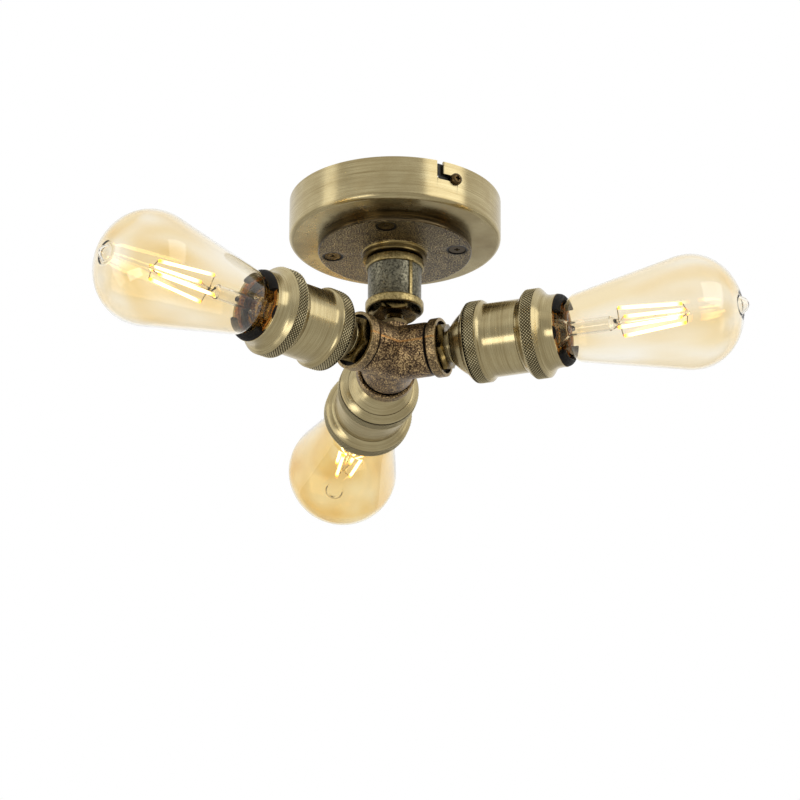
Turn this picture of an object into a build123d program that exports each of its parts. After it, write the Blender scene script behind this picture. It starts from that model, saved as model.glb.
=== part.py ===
from build123d import *
import math
import os

# Semi flush ceiling light: three bare lamps on a cast pipe Y, hung from a ceiling rose.
# Millimetres, +Z up. The origin is the centre of the ceiling plane, the top of the rose.
# Each arm is drawn along its own +X axis and then turned to its azimuth.

# ---------------------------------------------------------------- ceiling rose
rose_diameter = 120.0
rose_height = 25.0
rose_wall = 1.5
rose_edge_radius = 3.0
rose_wire_hole = 14.0          # diameter, over the pipe's bore
bayonet_turn = 9.3             # degrees from the clamped end of the slot to its open leg
bayonet_leg_width = 3.8

# ------------------------------------------------------------ mounting bracket
strap_thickness = 1.5
strap_width = 18.0
strap_azimuth = -56.0
strap_bend_radius = 2.2
ear_drop = 14.0                # from the ceiling to the ear's lower end
ear_clearance = 0.3            # ear corners to the inside of the rose
fixing_circle = 88.0           # pitch circle of the two round ceiling holes
fixing_hole = 4.8
fixing_slot_length = 16.0
fixing_slot_centre = 27.0
side_screw_shank = 3.5
side_screw_head = 6.8
side_screw_head_height = 2.4
side_screw_drop = 9.3          # ceiling to screw axis
side_screw_reach = 7.0         # shank length inside the ear
head_clearance = 0.25          # screw head to the outside of the rose
earth_offset = 4.9             # earth screw from the end hole towards the middle
earth_edge = 4.2               # earth screw from the strap's edge
earth_screw_thread = 4.0
earth_screw_head = 7.6
earth_screw_head_height = 2.2
pan_head_round = 0.6           # share of the head's height

# -------------------------------------------------------------- terminal block
block_length = 27.0
block_width = 15.0
block_height = 11.5
block_poles = 3
block_pitch = 8.4
block_chamfer = 1.0
block_entry = 4.2
block_entry_rise = 1.15        # wire entries above the block's middle
terminal_screw_diameter = 3.4
terminal_screw_spread = 8.6
terminal_screw_sink = 0.8      # screw head below the block's face

# ----------------------------------------------------------------- pipe flange
flange_diameter = 87.0
flange_thickness = 6.5
flange_edge_round = 0.8
flange_screw_circle = 71.0
flange_screw_azimuth = -8.0
flange_screw_count = 4
flange_screw_thread = 5.0
flange_screw_head = 9.6
flange_screw_sink = 0.3        # head face below the casting's face
flange_nut_flats = 8.0
flange_nut_height = 3.2
flange_screw_tail = 1.8        # thread past the nut
nut_corner_angle = 25.0
hub_diameter = 36.0
hub_height = 4.7
hub_root_radius = 2.0
hub_edge = 0.5

# ------------------------------------------------------------- pipe and thread
pipe_thread = 20.9             # outside of the half inch pipe thread
pipe_bore = 16.0
close_nipple_length = 24.0
close_nipple_rise = 1.0        # nipple's end below the rose's floor
thread_fit = 0.05              # radial clearance of every screwed joint
tube_thread = 10.0             # lamp tube thread, M10 x 1
tube_bore = 7.2

# --------------------------------------------------------------- pipe coupling
coupling_gap = 1.0             # hub end to coupling end
coupling_length = 30.3
coupling_diameter = 30.2
band_diameter = 33.0
band_height = 5.0
band_round = 0.9
mouth_diameter = 29.8          # recess in the lower end, round the hexagon
mouth_depth = 2.2
rib_width = 1.9
rib_azimuth = -55.0
rib_relief = 0.2               # rib below the bands
rib_root = 0.6                 # rib's root inside the body

# ------------------------------------------------------------ hexagonal bushes
bush_flats = 25.0
bush_hex_length = 5.8
bush_thread_length = 11.5
bush_corner_angle = 30.0
hexagon_face = 0.97            # turned end face as a share of the flats
bush_turns = {"right": 24.0, "back": 10.0, "left": 34.0}
stem_bush_turn = 30.0
stem_tube_up = 9.0             # tube inside the bush, above the hexagon
stem_tube_down = 11.0          # tube inside the casting, below the boss
stem_nut_flats = 14.0
stem_nut_height = 2.9

# -------------------------------------------------------------------- cast tee
arm_height = -94.0
arm_azimuths = {"right": -20.0, "back": 100.0, "left": 220.0}
tee_diameter = 30.6
tee_web_radius = 7.0
collar_diameter = 33.4
collar_length = 5.8
collar_end = 29.6              # from the tee's centre to the collar's face
collar_round = 1.1
tee_cavity = 21.0
boss_diameter = 17.0
boss_top = -77.5

# -------------------------------------------------------------------- arm tube
arm_tube_inner = 17.0          # nearest to the tee's centre
arm_tube_outer = 43.0

# -------------------------------------------------------------- lampholder cap
cap_neck_radius = 8.9
cap_neck_length = 1.0
cap_bead_radius = 10.1
cap_bead_length = 1.1
cap_bead_round = 0.44
cap_groove_radius = 9.5
cap_groove_length = 0.8
cap_cone_radius = 11.4
cap_cone_middle = (4.3, 15.85) # along the axis from the cone's start, radius
cap_cone_length = 8.0
cap_rim_radius = 18.5
cap_wall = 1.4
cap_skirt_length = 6.0
cap_skirt_wall = 1.1
cap_boss_back = 1.5            # boss's inner end before the tube's end

# ------------------------------------------------------- lampholder shell, rear
shell_seam = 0.1               # joint line between cap and shell
shell_rear_step = 0.3          # shell's rear edge over the cap's rim
shell_shoulder_middle = (0.341, 0.557)   # shares of the shoulder's length and rise
shell_shoulder_length = 4.4
barrel_radius = 20.8
barrel_end = 77.4              # from the tee's centre
barrel_wall = 1.5
knurl_rise = 2.4               # knurl band over the barrel
knurl_length = 6.0
knurl_edge_round = 0.35
shell_front_slope = 2.0
shell_front_rise = 0.8         # foot of the slope over the barrel
shell_front_fillet = 2.2
nose_step = 0.7                # threaded nose under the barrel
nose_length = 10.0
thread_relief = 0.5            # clear space past a thread's end

# -------------------------------------------------------------- front ring, lip
front_seam = 0.3               # step between barrel and front ring
front_rear_step = 0.1          # ring's rear edge over the barrel
front_rear_edge = (0.8, 0.3)   # length and rise of the edge's small slope
front_flare_length = 4.5
front_flare_step = (1.0, 0.9)  # length and rise of the flare's last step
front_flare_round = 1.2
front_knurl_rise = 4.55        # knurl band over the barrel
front_knurl_length = 6.6
front_knurl_step = (0.2, 0.5)  # length and drop at the knurl's front
front_shoulder_length = 5.6
front_shoulder_share = 0.35    # of its length, to the shoulder's corner
front_shoulder_drop = 1.7
front_shoulder_round = 2.5
waist_step = (1.5, 0.5)        # length and rise behind the lip
waist_round = 3.5
lip_step = 0.3                 # lip under the barrel
lip_neck_step = 0.2            # the neck behind the lip's bead
lip_bead = (1.5, 0.6)          # bead's rear and front corners from the lip's end
lip_length = 5.0
lip_wall = 1.6

# ------------------------------------------------------------------- insulator
insulator_fit = 0.15
insulator_floor_thickness = 3.0
insulator_chamber = 10.5       # radius behind the ledge that the screw shell seats on
wire_way_circle = 15.0         # the two wire holes in the floor
wire_way_diameter = 4.0
tab_length = 3.8
tab_tip_draft = 3.1            # from the lip in to the tab's tip
tab_tip_middle = (0.72, 0.62)  # shares of the tab's length and draft
tab_tip_wall = 0.9
tab_bore_depth = 5.5
tab_gap_angle = 78.0           # each of the two side cut-outs

# ---------------------------------------------------------- lamp cap and socket
lamp_rear = 68.0               # from the tee's centre to the lamp's eyelet
lamp_length = 138.5
lamp_cap_diameter = 26.0
lamp_cap_length = 27.0
lamp_cap_wall = 0.3
lamp_cap_rim_flare = 0.35
lamp_cap_rim_width = 1.0
eyelet_radius = 4.8
eyelet_height = 1.8
eyelet_taper = 1.0
eyelet_round = 0.8
eyelet_foot = 6.0
button_height = 3.2
button_radius = 10.6
cap_shoulder = 2.0
socket_clearance = 0.3         # lamp cap to screw shell
screw_shell_wall = 0.45
screw_shell_floor_hole = 18.0
screw_shell_lead = 1.5         # shell floor behind the lamp's shoulder
screw_shell_rim_gap = 0.5      # shell's mouth to the rim of the lamp cap
contact_width = 6.0
contact_thickness = 0.5
contact_space = 7.0            # insulator's floor to the lamp's eyelet
contact_gap = 0.25             # spring to the lamp's eyelet
contact_foot = 8.0
contact_pad = 3.0

# --------------------------------------------------------------- glass envelope
bulb_radius = 32.0
bulb_nose_length = 28.5        # ball centre to the dome's end, before the pip
bulb_wall = 0.9
neck_clearance = 0.3           # glass neck to the inside of the cap
neck_sleeve = 1.7              # glass inside the cap's rim
neck_run = 1.0                 # straight glass past the rim
shoulder_middle = (8.2, 3.0)   # from the rim and over the neck
shoulder_end = (14.0, 6.9)
pip_radius = 7.0
pip_height = 4.0               # dome's end to the lamp's tip
pip_blend = 1.6

# ------------------------------------------------- glass stem, filaments, wires
stem_clearance = 0.3           # stem flare to the envelope's neck
stem_flare_length = 9.0
stem_flare_wall = 1.1
stem_tube_radius = 4.2
stem_length = 32.0             # from the cap's rim to the end of the stem tube
stem_pinch_length = 5.0
stem_pinch_half = 1.4          # half the thickness of the flattened end
post_radius = 1.1
post_root = 0.5                # post inside the pinch
post_setback = 3.0             # post's end before the ball's centre
post_button = 1.7
filament_rear_gap = 1.5        # pinch to filament
filament_setback = 1.6         # filament's front end before the post's end
filament_radius = 0.9
filament_count = 4
filament_rear_circle = 8.4
filament_front_circle = 5.6
filament_turn = 45.0
wire_radius = 0.3
wire_gap = 0.2

# ---------------------------------------------------------------- derived sizes
rose_radius = rose_diameter / 2
rose_inner = rose_radius - rose_wall
rose_floor = -rose_height + rose_wall
ear_face = math.sqrt((rose_inner - ear_clearance) ** 2 - (strap_width / 2) ** 2)
flange_face = -rose_height - flange_thickness
hub_end = flange_face - hub_height
coupling_top = hub_end - coupling_gap
coupling_bottom = coupling_top - coupling_length
tapped_pipe = pipe_thread / 2 + thread_fit
tapped_tube = tube_thread / 2 + thread_fit
stem_bush_seat = coupling_bottom + mouth_depth
stem_bush_end = stem_bush_seat - bush_hex_length
stem_nut_top = boss_top + stem_nut_height
arm_bush_seat = collar_end - mouth_depth
cap_start = arm_bush_seat + bush_hex_length
cone_start = cap_start + cap_neck_length + cap_bead_length + cap_groove_length
cap_rim = cone_start + cap_cone_length
cap_skirt_radius = cap_rim_radius - shell_seam
cap_skirt_end = cap_rim + cap_skirt_length
shell_rear_radius = cap_rim_radius + shell_rear_step
knurl_radius = barrel_radius + knurl_rise
shell_front_radius = barrel_radius + shell_front_rise
nose_radius = barrel_radius - nose_step
shell_start = cap_rim + shell_seam
knurl_start = shell_start + shell_shoulder_length
knurl_end = knurl_start + knurl_length
shell_bore = barrel_radius - barrel_wall
front_start = barrel_end + front_seam
front_rear_radius = barrel_radius + front_rear_step
front_knurl_radius = barrel_radius + front_knurl_rise
front_knurl_start = front_start + front_flare_length
front_knurl_end = front_knurl_start + front_knurl_length
lip_start = front_knurl_end + front_shoulder_length
lip_end = lip_start + lip_length
lip_radius = barrel_radius - lip_step
lip_bore = lip_radius - lip_wall
lip_neck_radius = lip_radius - lip_neck_step
nose_end = barrel_end + nose_length
insulator_radius = min(lip_bore, shell_bore) - insulator_fit
insulator_floor = lamp_rear - contact_space
lamp_tip = lamp_rear + lamp_length
lamp_shoulder = lamp_rear + eyelet_height + button_height
lamp_cap_rim = lamp_rear + lamp_cap_length
lamp_cap_radius = lamp_cap_diameter / 2
screw_shell_inner = lamp_cap_radius + socket_clearance
screw_shell_outer = screw_shell_inner + screw_shell_wall
screw_shell_start = lamp_shoulder - screw_shell_lead
tab_end = lip_end + tab_length
tab_tip_radius = lip_radius - tab_tip_draft
tab_bore = tab_tip_radius - tab_tip_wall
neck_radius = lamp_cap_radius - lamp_cap_wall - neck_clearance
bulb_centre = lamp_tip - pip_height - bulb_nose_length
stem_pinch = lamp_cap_rim + stem_length
pinch_end = stem_pinch + stem_pinch_length
post_end = bulb_centre - post_setback
filament_rear = pinch_end + filament_rear_gap
filament_front = post_end - filament_setback
quarter_turn = 90.0


# -------------------------------------------------------------------- shop tools
def outline(*points):
    """A closed flat outline through the points."""
    return make_face(Polyline(*points, close=True))


def round_corner(face, radius, *corners):
    """Round the outline's corners nearest to the given points."""
    for x, y in corners:
        corner = min(face.vertices(), key=lambda v: math.hypot(v.X - x, v.Y - y))
        face = fillet(corner, radius)
    return face


def turned_x(face):
    """Revolve an outline of (length, radius) about the arm's axis."""
    return revolve(face, Axis.X)


def turned_z(face):
    """Revolve an outline of (radius, height) about the vertical axis."""
    return revolve(Plane.XZ * face, Axis.Z)


def ring_x(start, end, outer, inner=0.0):
    """A plain tube or rod along the arm's axis."""
    return turned_x(outline((start, inner), (start, outer), (end, outer), (end, inner)))


def ring_z(bottom, top, outer, inner=0.0):
    """A plain tube or rod along the vertical axis."""
    return turned_z(outline((inner, bottom), (outer, bottom), (outer, top), (inner, top)))


def around_z(azimuth, radius, height, part):
    """Set a part at a polar position, its own +X pointing outwards."""
    return Rot(0, 0, azimuth) * Pos(radius, 0, height) * part


def hexagon_x(start, end, flats, angle):
    """A hexagonal bar along X whose corners are turned off at the given angle."""
    corner = flats / math.sqrt(3)
    face_radius = hexagon_face * flats / 2
    turned_off = (corner - face_radius) * math.tan(math.radians(angle))
    bar = Pos(start, 0, 0) * extrude(
        Plane.YZ * RegularPolygon(flats / 2, 6, major_radius=False), end - start)
    blank = turned_x(outline(
        (start, 0), (start, face_radius), (start + turned_off, corner),
        (end - turned_off, corner), (end, face_radius), (end, 0)))
    return bar & blank


def between(start, end, radius):
    """A round bar from one point to another."""
    axis = Vector(*end) - Vector(*start)
    plane = Plane(origin=start, z_dir=axis)
    return extrude(plane * Circle(radius), axis.length)


def save(node, *parts):
    """Write one node; several parts stay separate solids in it."""
    solids = [solid for part in parts for solid in part.solids()]
    shape = solids[0] if len(solids) == 1 else Compound(children=solids)
    export_step(shape, f"parts/{node}.step")


# ------------------------------------------------------------------ ceiling parts
def ceiling_rose():
    """Spun cup with a rounded lower edge and two L-shaped bayonet slots."""
    hole = rose_wire_hole / 2
    cup = outline((hole, -rose_height), (rose_radius, -rose_height), (rose_radius, 0),
                  (rose_inner, 0), (rose_inner, rose_floor), (hole, rose_floor))
    cup = round_corner(cup, rose_edge_radius, (rose_radius, -rose_height))
    cup = round_corner(cup, rose_edge_radius - rose_wall, (rose_inner, rose_floor))
    rose = turned_z(cup)
    half = bayonet_leg_width / 2
    reach = rose_wall * 6
    for side in (0, 180):
        clamped = strap_azimuth + side
        hole_end = Rot(0, 90, 0) * Cylinder(half, reach)
        rose -= around_z(clamped, rose_radius, -side_screw_drop, hole_end)
        rose -= around_z(clamped - bayonet_turn, rose_radius, -side_screw_drop, hole_end)
        leg = Pos(0, 0, side_screw_drop) * Box(reach, bayonet_leg_width, 2 * side_screw_drop)
        rose -= around_z(clamped - bayonet_turn, rose_radius, -side_screw_drop, leg)
        sweep = outline((rose_inner - reach, -side_screw_drop - half),
                        (rose_radius + reach, -side_screw_drop - half),
                        (rose_radius + reach, -side_screw_drop + half),
                        (rose_inner - reach, -side_screw_drop + half))
        track = revolve(Plane.XZ * sweep, Axis.Z, bayonet_turn)
        rose -= Rot(0, 0, clamped - bayonet_turn) * track
    for index in range(flange_screw_count):
        hole = ring_z(-rose_height, rose_floor, flange_screw_thread / 2 + thread_fit)
        rose -= around_z(flange_azimuth(index), flange_screw_circle / 2, 0, hole)
    return rose


def flange_azimuth(index):
    """Azimuth of one of the screws that hold the pipe flange."""
    return flange_screw_azimuth + index * 360 / flange_screw_count


def mounting_bracket():
    """Steel strap with turned-down tapped ears, two round holes and two slots."""
    inner_face = ear_face - strap_thickness
    strip = outline(
        (-ear_face, -ear_drop), (-ear_face, 0), (ear_face, 0), (ear_face, -ear_drop),
        (inner_face, -ear_drop), (inner_face, -strap_thickness),
        (-inner_face, -strap_thickness), (-inner_face, -ear_drop))
    inside = strap_bend_radius - strap_thickness
    strip = round_corner(strip, strap_bend_radius, (-ear_face, 0), (ear_face, 0))
    strip = round_corner(strip, inside, (-inner_face, -strap_thickness),
                         (inner_face, -strap_thickness))
    strap = extrude(Plane.XZ * strip, strap_width / 2, both=True)
    through = 4 * strap_thickness
    for side in (-1, 1):
        strap -= Pos(side * fixing_circle / 2, 0, 0) * Cylinder(fixing_hole / 2, through)
        slot = extrude(SlotOverall(fixing_slot_length, fixing_hole), through, both=True)
        strap -= Pos(side * fixing_slot_centre, 0, 0) * slot
        tapped = Rot(0, 90, 0) * Cylinder(side_screw_shank / 2 + thread_fit, through)
        strap -= Pos(side * ear_face, 0, -side_screw_drop) * tapped
    strap -= Pos(*earth_place()) * Cylinder(earth_screw_thread / 2 + thread_fit, through)
    return Rot(0, 0, strap_azimuth) * strap


def earth_place():
    """Place of the earth screw on the strap, in the strap's own directions."""
    return (fixing_circle / 2 - earth_offset, strap_width / 2 - earth_edge, 0)


def pan_screw(head, head_height, shank, length):
    """Pan head screw along X: head outwards, its seat at X = 0."""
    profile = outline((-length, 0), (-length, shank / 2), (0, shank / 2),
                      (0, head / 2), (head_height, head / 2), (head_height, 0))
    return turned_x(round_corner(profile, head_height * pan_head_round, (head_height, head / 2)))


def side_screws():
    """The two screws in the bracket's ears that clamp the rose."""
    seat = rose_radius + head_clearance
    length = seat - ear_face + strap_thickness + side_screw_reach
    screw = pan_screw(side_screw_head, side_screw_head_height, side_screw_shank, length)
    return [around_z(strap_azimuth + side, seat, -side_screw_drop, screw)
            for side in (0, 180)]


def earth_screw():
    """Earth terminal screw, its head under the strap."""
    screw = pan_screw(earth_screw_head, earth_screw_head_height, earth_screw_thread,
                      strap_thickness)
    return Rot(0, 0, strap_azimuth) * Pos(*earth_place()) \
        * Pos(0, 0, -strap_thickness) * Rot(0, 90, 0) * screw


def terminal_block():
    """Three-pole block under the strap, with an entry and two screw wells a pole."""
    body = Box(block_length, block_width, block_height)
    body = chamfer(body.edges().filter_by(Axis.Z), block_chamfer)
    for pole in range(block_poles):
        x = (pole - (block_poles - 1) / 2) * block_pitch
        body -= Pos(x, 0, block_entry_rise) * Rot(90, 0, 0) * Cylinder(
            block_entry / 2, 2 * block_width)
        for side in (-1, 1):
            well = Cylinder(terminal_screw_diameter / 2 + thread_fit, block_height / 2,
                            align=(Align.CENTER, Align.CENTER, Align.MIN))
            body -= Pos(x, side * terminal_screw_spread / 2, -block_height / 2) * well
    return Rot(0, 0, strap_azimuth) * Pos(0, 0, block_middle()) * body


def block_middle():
    """Height of the terminal block's middle, its top against the strap."""
    return -strap_thickness - block_height / 2


def terminal_screws():
    """Clamping screws of the terminal block, two for each pole."""
    screws = []
    bottom = block_middle() - block_height / 2
    screw = ring_z(bottom + terminal_screw_sink, bottom + block_height / 2,
                   terminal_screw_diameter / 2)
    for pole in range(block_poles):
        x = (pole - (block_poles - 1) / 2) * block_pitch
        for side in (-1, 1):
            place = Pos(x, side * terminal_screw_spread / 2, 0)
            screws.append(Rot(0, 0, strap_azimuth) * place * screw)
    return screws


# ---------------------------------------------------------------- pipe stem parts
def pipe_flange():
    """Cast floor flange: disc, filleted hub, pipe thread and countersunk holes."""
    edge = flange_diameter / 2
    hub = hub_diameter / 2
    profile = outline((tapped_pipe, -rose_height), (edge, -rose_height), (edge, flange_face),
                      (hub, flange_face), (hub, hub_end), (tapped_pipe, hub_end))
    profile = round_corner(profile, flange_edge_round, (edge, flange_face))
    profile = round_corner(profile, hub_root_radius, (hub, flange_face))
    profile = round_corner(profile, hub_edge, (hub, hub_end))
    flange = turned_z(profile)
    shank = flange_screw_thread / 2 + thread_fit
    sink = flange_screw_head / 2 + thread_fit
    cone = sink - shank
    hole = turned_z(outline((0, -rose_height), (shank, -rose_height),
                            (shank, flange_face + flange_screw_sink + cone),
                            (sink, flange_face + flange_screw_sink),
                            (sink, flange_face), (0, flange_face)))
    for index in range(flange_screw_count):
        flange -= around_z(flange_azimuth(index), flange_screw_circle / 2, 0, hole)
    return flange


def flange_screws():
    """Countersunk screws up through the flange and the rose's floor."""
    shank = flange_screw_thread / 2
    head = flange_screw_head / 2
    face = flange_face + flange_screw_sink
    top = rose_floor + flange_nut_height + flange_screw_tail
    screw = turned_z(outline((0, face), (head, face), (shank, face + head - shank),
                             (shank, top), (0, top)))
    return [around_z(flange_azimuth(index), flange_screw_circle / 2, 0, screw)
            for index in range(flange_screw_count)]


def hexagon_nut(flats, bottom, height, bore):
    """Chamfered hexagonal nut standing on the given height."""
    nut = hexagon_x(0, height, flats, nut_corner_angle) - ring_x(0, height, bore)
    return Pos(0, 0, bottom) * Rot(0, -90, 0) * nut


def flange_nuts():
    """Nuts inside the rose, on its floor."""
    nut = hexagon_nut(flange_nut_flats, rose_floor, flange_nut_height,
                      flange_screw_thread / 2 + thread_fit)
    return [around_z(flange_azimuth(index), flange_screw_circle / 2, 0, nut)
            for index in range(flange_screw_count)]


def close_nipple():
    """Short threaded pipe that joins the flange to the coupling."""
    top = -rose_height - close_nipple_rise
    return ring_z(top - close_nipple_length, top, pipe_thread / 2, pipe_bore / 2)


def pipe_coupling():
    """Banded pipe coupling with two side ribs and a recessed lower mouth."""
    band = band_diameter / 2
    body = coupling_diameter / 2
    mouth = mouth_diameter / 2
    profile = outline(
        (tapped_pipe, coupling_top), (band, coupling_top), (band, coupling_top - band_height),
        (body, coupling_top - band_height), (body, coupling_bottom + band_height),
        (band, coupling_bottom + band_height), (band, coupling_bottom),
        (mouth, coupling_bottom), (mouth, stem_bush_seat), (tapped_pipe, stem_bush_seat))
    profile = round_corner(profile, band_round, (band, coupling_top),
                           (band, coupling_top - band_height),
                           (band, coupling_bottom + band_height))
    profile = round_corner(profile, band_round / 2, (band, coupling_bottom))
    coupling = turned_z(profile)
    height = coupling_length - 2 * band_height + band_round
    middle = (coupling_top + coupling_bottom) / 2
    blank = ring_z(middle - height / 2, middle + height / 2, band - rib_relief,
                   body - rib_root)
    for side in (0, 180):
        bar = around_z(rib_azimuth + side, body, middle, Box(body, rib_width, height))
        coupling += blank & bar
    return coupling


def hex_bush():
    """Reducing bush along X: pipe thread behind its seat, hexagon in front."""
    bush = hexagon_x(0, bush_hex_length, bush_flats, bush_corner_angle)
    bush += ring_x(-bush_thread_length, 0, pipe_thread / 2)
    return bush - ring_x(-bush_thread_length, bush_hex_length, tapped_tube)


def coupling_bush():
    """The bush screwed up into the coupling."""
    return Pos(0, 0, stem_bush_seat) * Rot(0, 90, 0) * Rot(stem_bush_turn, 0, 0) * hex_bush()


def stem_tube():
    """Threaded tube from the coupling's bush down into the tee."""
    return ring_z(boss_top - stem_tube_down, stem_bush_end + stem_tube_up,
                  tube_thread / 2, tube_bore / 2)


def stem_nut():
    """Lock nut on the tee's boss."""
    return hexagon_nut(stem_nut_flats, boss_top, stem_nut_height, tapped_tube)


# ----------------------------------------------------------------------- cast tee
def pipe_tee():
    """Cast Y with three banded outlets and a tapped boss on top."""
    pipe = tee_diameter / 2
    outlet = ring_x(0, collar_end - collar_length / 2, pipe)
    tee = Sphere(pipe)
    for azimuth in arm_azimuths.values():
        tee += Rot(0, 0, azimuth) * outlet
    creases = [edge for edge in tee.edges() if is_crotch(edge)]
    tee = fillet(creases, tee_web_radius)
    tee += ring_z(0, boss_top - arm_height, boss_diameter / 2)
    band = collar_diameter / 2
    start = collar_end - collar_length
    collar = outline((start, 0), (start, band), (collar_end, band), (collar_end, 0))
    collar = round_corner(collar, collar_round, (start, band))
    collar = turned_x(round_corner(collar, collar_round / 2, (collar_end, band)))
    bore = ring_x(0, collar_end, tapped_pipe) \
        + ring_x(arm_bush_seat, collar_end + 1, mouth_diameter / 2)
    for azimuth in arm_azimuths.values():
        tee += Rot(0, 0, azimuth) * collar
    for azimuth in arm_azimuths.values():
        tee -= Rot(0, 0, azimuth) * bore
    tee -= Sphere(tee_cavity / 2)
    tee -= ring_z(0, boss_top - arm_height + 1, tapped_tube)
    return Pos(0, 0, arm_height) * tee


def is_crotch(edge):
    """True for the creases where two outlets meet away from the axis."""
    middle = edge @ 0.5
    flat = math.hypot(middle.X, middle.Y)
    return flat > 0.9 * tee_diameter / 2 and abs(middle.Z) < 0.5 * tee_diameter / 2


# ------------------------------------------------------------------- lampholder
def arm_bush(arm):
    """The bush screwed into one outlet of the tee."""
    return Pos(arm_bush_seat, 0, 0) * Rot(bush_turns[arm], 0, 0) * hex_bush()


def arm_tube():
    """Threaded tube that carries the lampholder on its bush."""
    return ring_x(arm_tube_inner, arm_tube_outer, tube_thread / 2, tube_bore / 2)


def holder_cap():
    """Lampholder cap: neck, bead, groove and bell-shaped cone with a threaded skirt."""
    bead_start = cap_start + cap_neck_length
    bead_end = bead_start + cap_bead_length
    middle_x, middle_r = cap_cone_middle
    boss_end = arm_tube_outer - cap_boss_back
    back = Polyline(
        (cap_rim, cap_rim_radius), (cap_rim, cap_skirt_radius),
        (cap_skirt_end, cap_skirt_radius), (cap_skirt_end, cap_skirt_radius - cap_skirt_wall),
        (cap_rim, cap_skirt_radius - cap_skirt_wall),
        (cone_start + middle_x + cap_wall, middle_r - cap_wall),
        (boss_end, cap_cone_radius), (boss_end, tapped_tube), (cap_start, tapped_tube),
        (cap_start, cap_neck_radius), (bead_start, cap_neck_radius),
        (bead_start, cap_bead_radius), (bead_end, cap_bead_radius),
        (bead_end, cap_groove_radius), (cone_start, cap_groove_radius),
        (cone_start, cap_cone_radius))
    cone = ThreePointArc((cone_start, cap_cone_radius), (cone_start + middle_x, middle_r),
                         (cap_rim, cap_rim_radius))
    profile = make_face(back + cone)
    profile = round_corner(profile, cap_bead_round, (bead_start, cap_bead_radius),
                           (bead_end, cap_bead_radius))
    return turned_x(profile)


def holder_shell():
    """Lampholder shell: rounded shoulder, knurl band, barrel and threaded nose."""
    along, up = shell_shoulder_middle
    middle = (shell_start + along * shell_shoulder_length,
              shell_rear_radius + up * (knurl_radius - shell_rear_radius))
    shoulder = ThreePointArc((shell_start, shell_rear_radius), middle,
                             (knurl_start, knurl_radius))
    slope_end = knurl_end + shell_front_slope
    foot = slope_end + shell_front_rise
    skirt_space = cap_skirt_end + thread_relief
    rest = Polyline(
        (knurl_start, knurl_radius), (knurl_end, knurl_radius),
        (slope_end, shell_front_radius), (foot, barrel_radius),
        (barrel_end, barrel_radius), (barrel_end, nose_radius), (nose_end, nose_radius),
        (nose_end, shell_bore), (skirt_space, shell_bore),
        (skirt_space, cap_skirt_radius + thread_fit),
        (shell_start, cap_skirt_radius + thread_fit), (shell_start, shell_rear_radius))
    profile = make_face(shoulder + rest)
    profile = round_corner(profile, shell_front_fillet, (foot, barrel_radius))
    profile = round_corner(profile, knurl_edge_round, (knurl_end, knurl_radius))
    return turned_x(profile)


def front_ring():
    """Front ring: flare, knurl band, rolled shoulder, waist and lip."""
    knurl = front_knurl_radius
    edge_length, edge_rise = front_rear_edge
    flare_length, flare_rise = front_flare_step
    step_length, step_drop = front_knurl_step
    waist_length, waist_rise = waist_step
    bead_rear, bead_front = lip_bead
    flare = (front_knurl_start - flare_length, knurl - flare_rise)
    shoulder = (front_knurl_end + front_shoulder_share * front_shoulder_length,
                knurl - front_shoulder_drop)
    waist = (lip_start - waist_length, lip_neck_radius + waist_rise)
    thread_end = nose_end + thread_relief
    profile = outline(
        (front_start, front_rear_radius),
        (front_start + edge_length, front_rear_radius + edge_rise),
        flare, (front_knurl_start, knurl), (front_knurl_end, knurl),
        (front_knurl_end + step_length, knurl - step_drop), shoulder, waist,
        (lip_start, lip_neck_radius), (lip_end - bead_rear, lip_neck_radius),
        (lip_end - bead_front, lip_radius), (lip_end, lip_radius), (lip_end, lip_bore),
        (thread_end, lip_bore), (thread_end, nose_radius + thread_fit),
        (front_start, nose_radius + thread_fit))
    profile = round_corner(profile, front_shoulder_round, shoulder)
    profile = round_corner(profile, waist_round, waist)
    profile = round_corner(profile, front_flare_round, flare)
    return turned_x(profile)


def insulator():
    """Moulded insert: floor, socket wall and two front tabs with side cut-outs."""
    floor_back = insulator_floor - insulator_floor_thickness
    tab_bore_start = lip_end - tab_bore_depth + tab_length
    pocket = screw_shell_outer + thread_fit
    ledge = screw_shell_start - screw_shell_wall
    along, up = tab_tip_middle
    tip = ThreePointArc(
        (lip_end, lip_radius),
        (lip_end + along * tab_length, tab_tip_radius + up * tab_tip_draft),
        (tab_end, tab_tip_radius))
    inside = Polyline(
        (tab_end, tab_tip_radius), (tab_end, tab_bore), (tab_bore_start, tab_bore),
        (tab_bore_start, pocket), (ledge, pocket), (ledge, insulator_chamber),
        (insulator_floor, insulator_chamber), (insulator_floor, 0),
        (floor_back, 0), (floor_back, insulator_radius), (lip_end, insulator_radius),
        (lip_end, lip_radius))
    body = turned_x(make_face(tip + inside))
    half = math.radians(tab_gap_angle / 2)
    far = 2 * lip_radius
    for side in (1, -1):
        wedge = outline((0, 0), (side * far, far * math.tan(half)),
                        (side * far, -far * math.tan(half)))
        body -= Pos(lip_end, 0, 0) * extrude(Plane.YZ * wedge, 2 * tab_length)
    for side in (1, -1):
        wire_way = Rot(0, 90, 0) * Cylinder(wire_way_diameter / 2, 3 * insulator_floor_thickness)
        body -= Pos(insulator_floor, side * wire_way_circle / 2, 0) * wire_way
    return body


def screw_shell():
    """Brass screw shell that the lamp turns into; its floor has a contact opening."""
    back = screw_shell_start - screw_shell_wall
    hole = screw_shell_floor_hole / 2
    front = lamp_cap_rim - lamp_cap_rim_width - screw_shell_rim_gap
    return turned_x(outline(
        (back, hole), (back, screw_shell_outer), (front, screw_shell_outer),
        (front, screw_shell_inner), (screw_shell_start, screw_shell_inner),
        (screw_shell_start, hole)))


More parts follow.
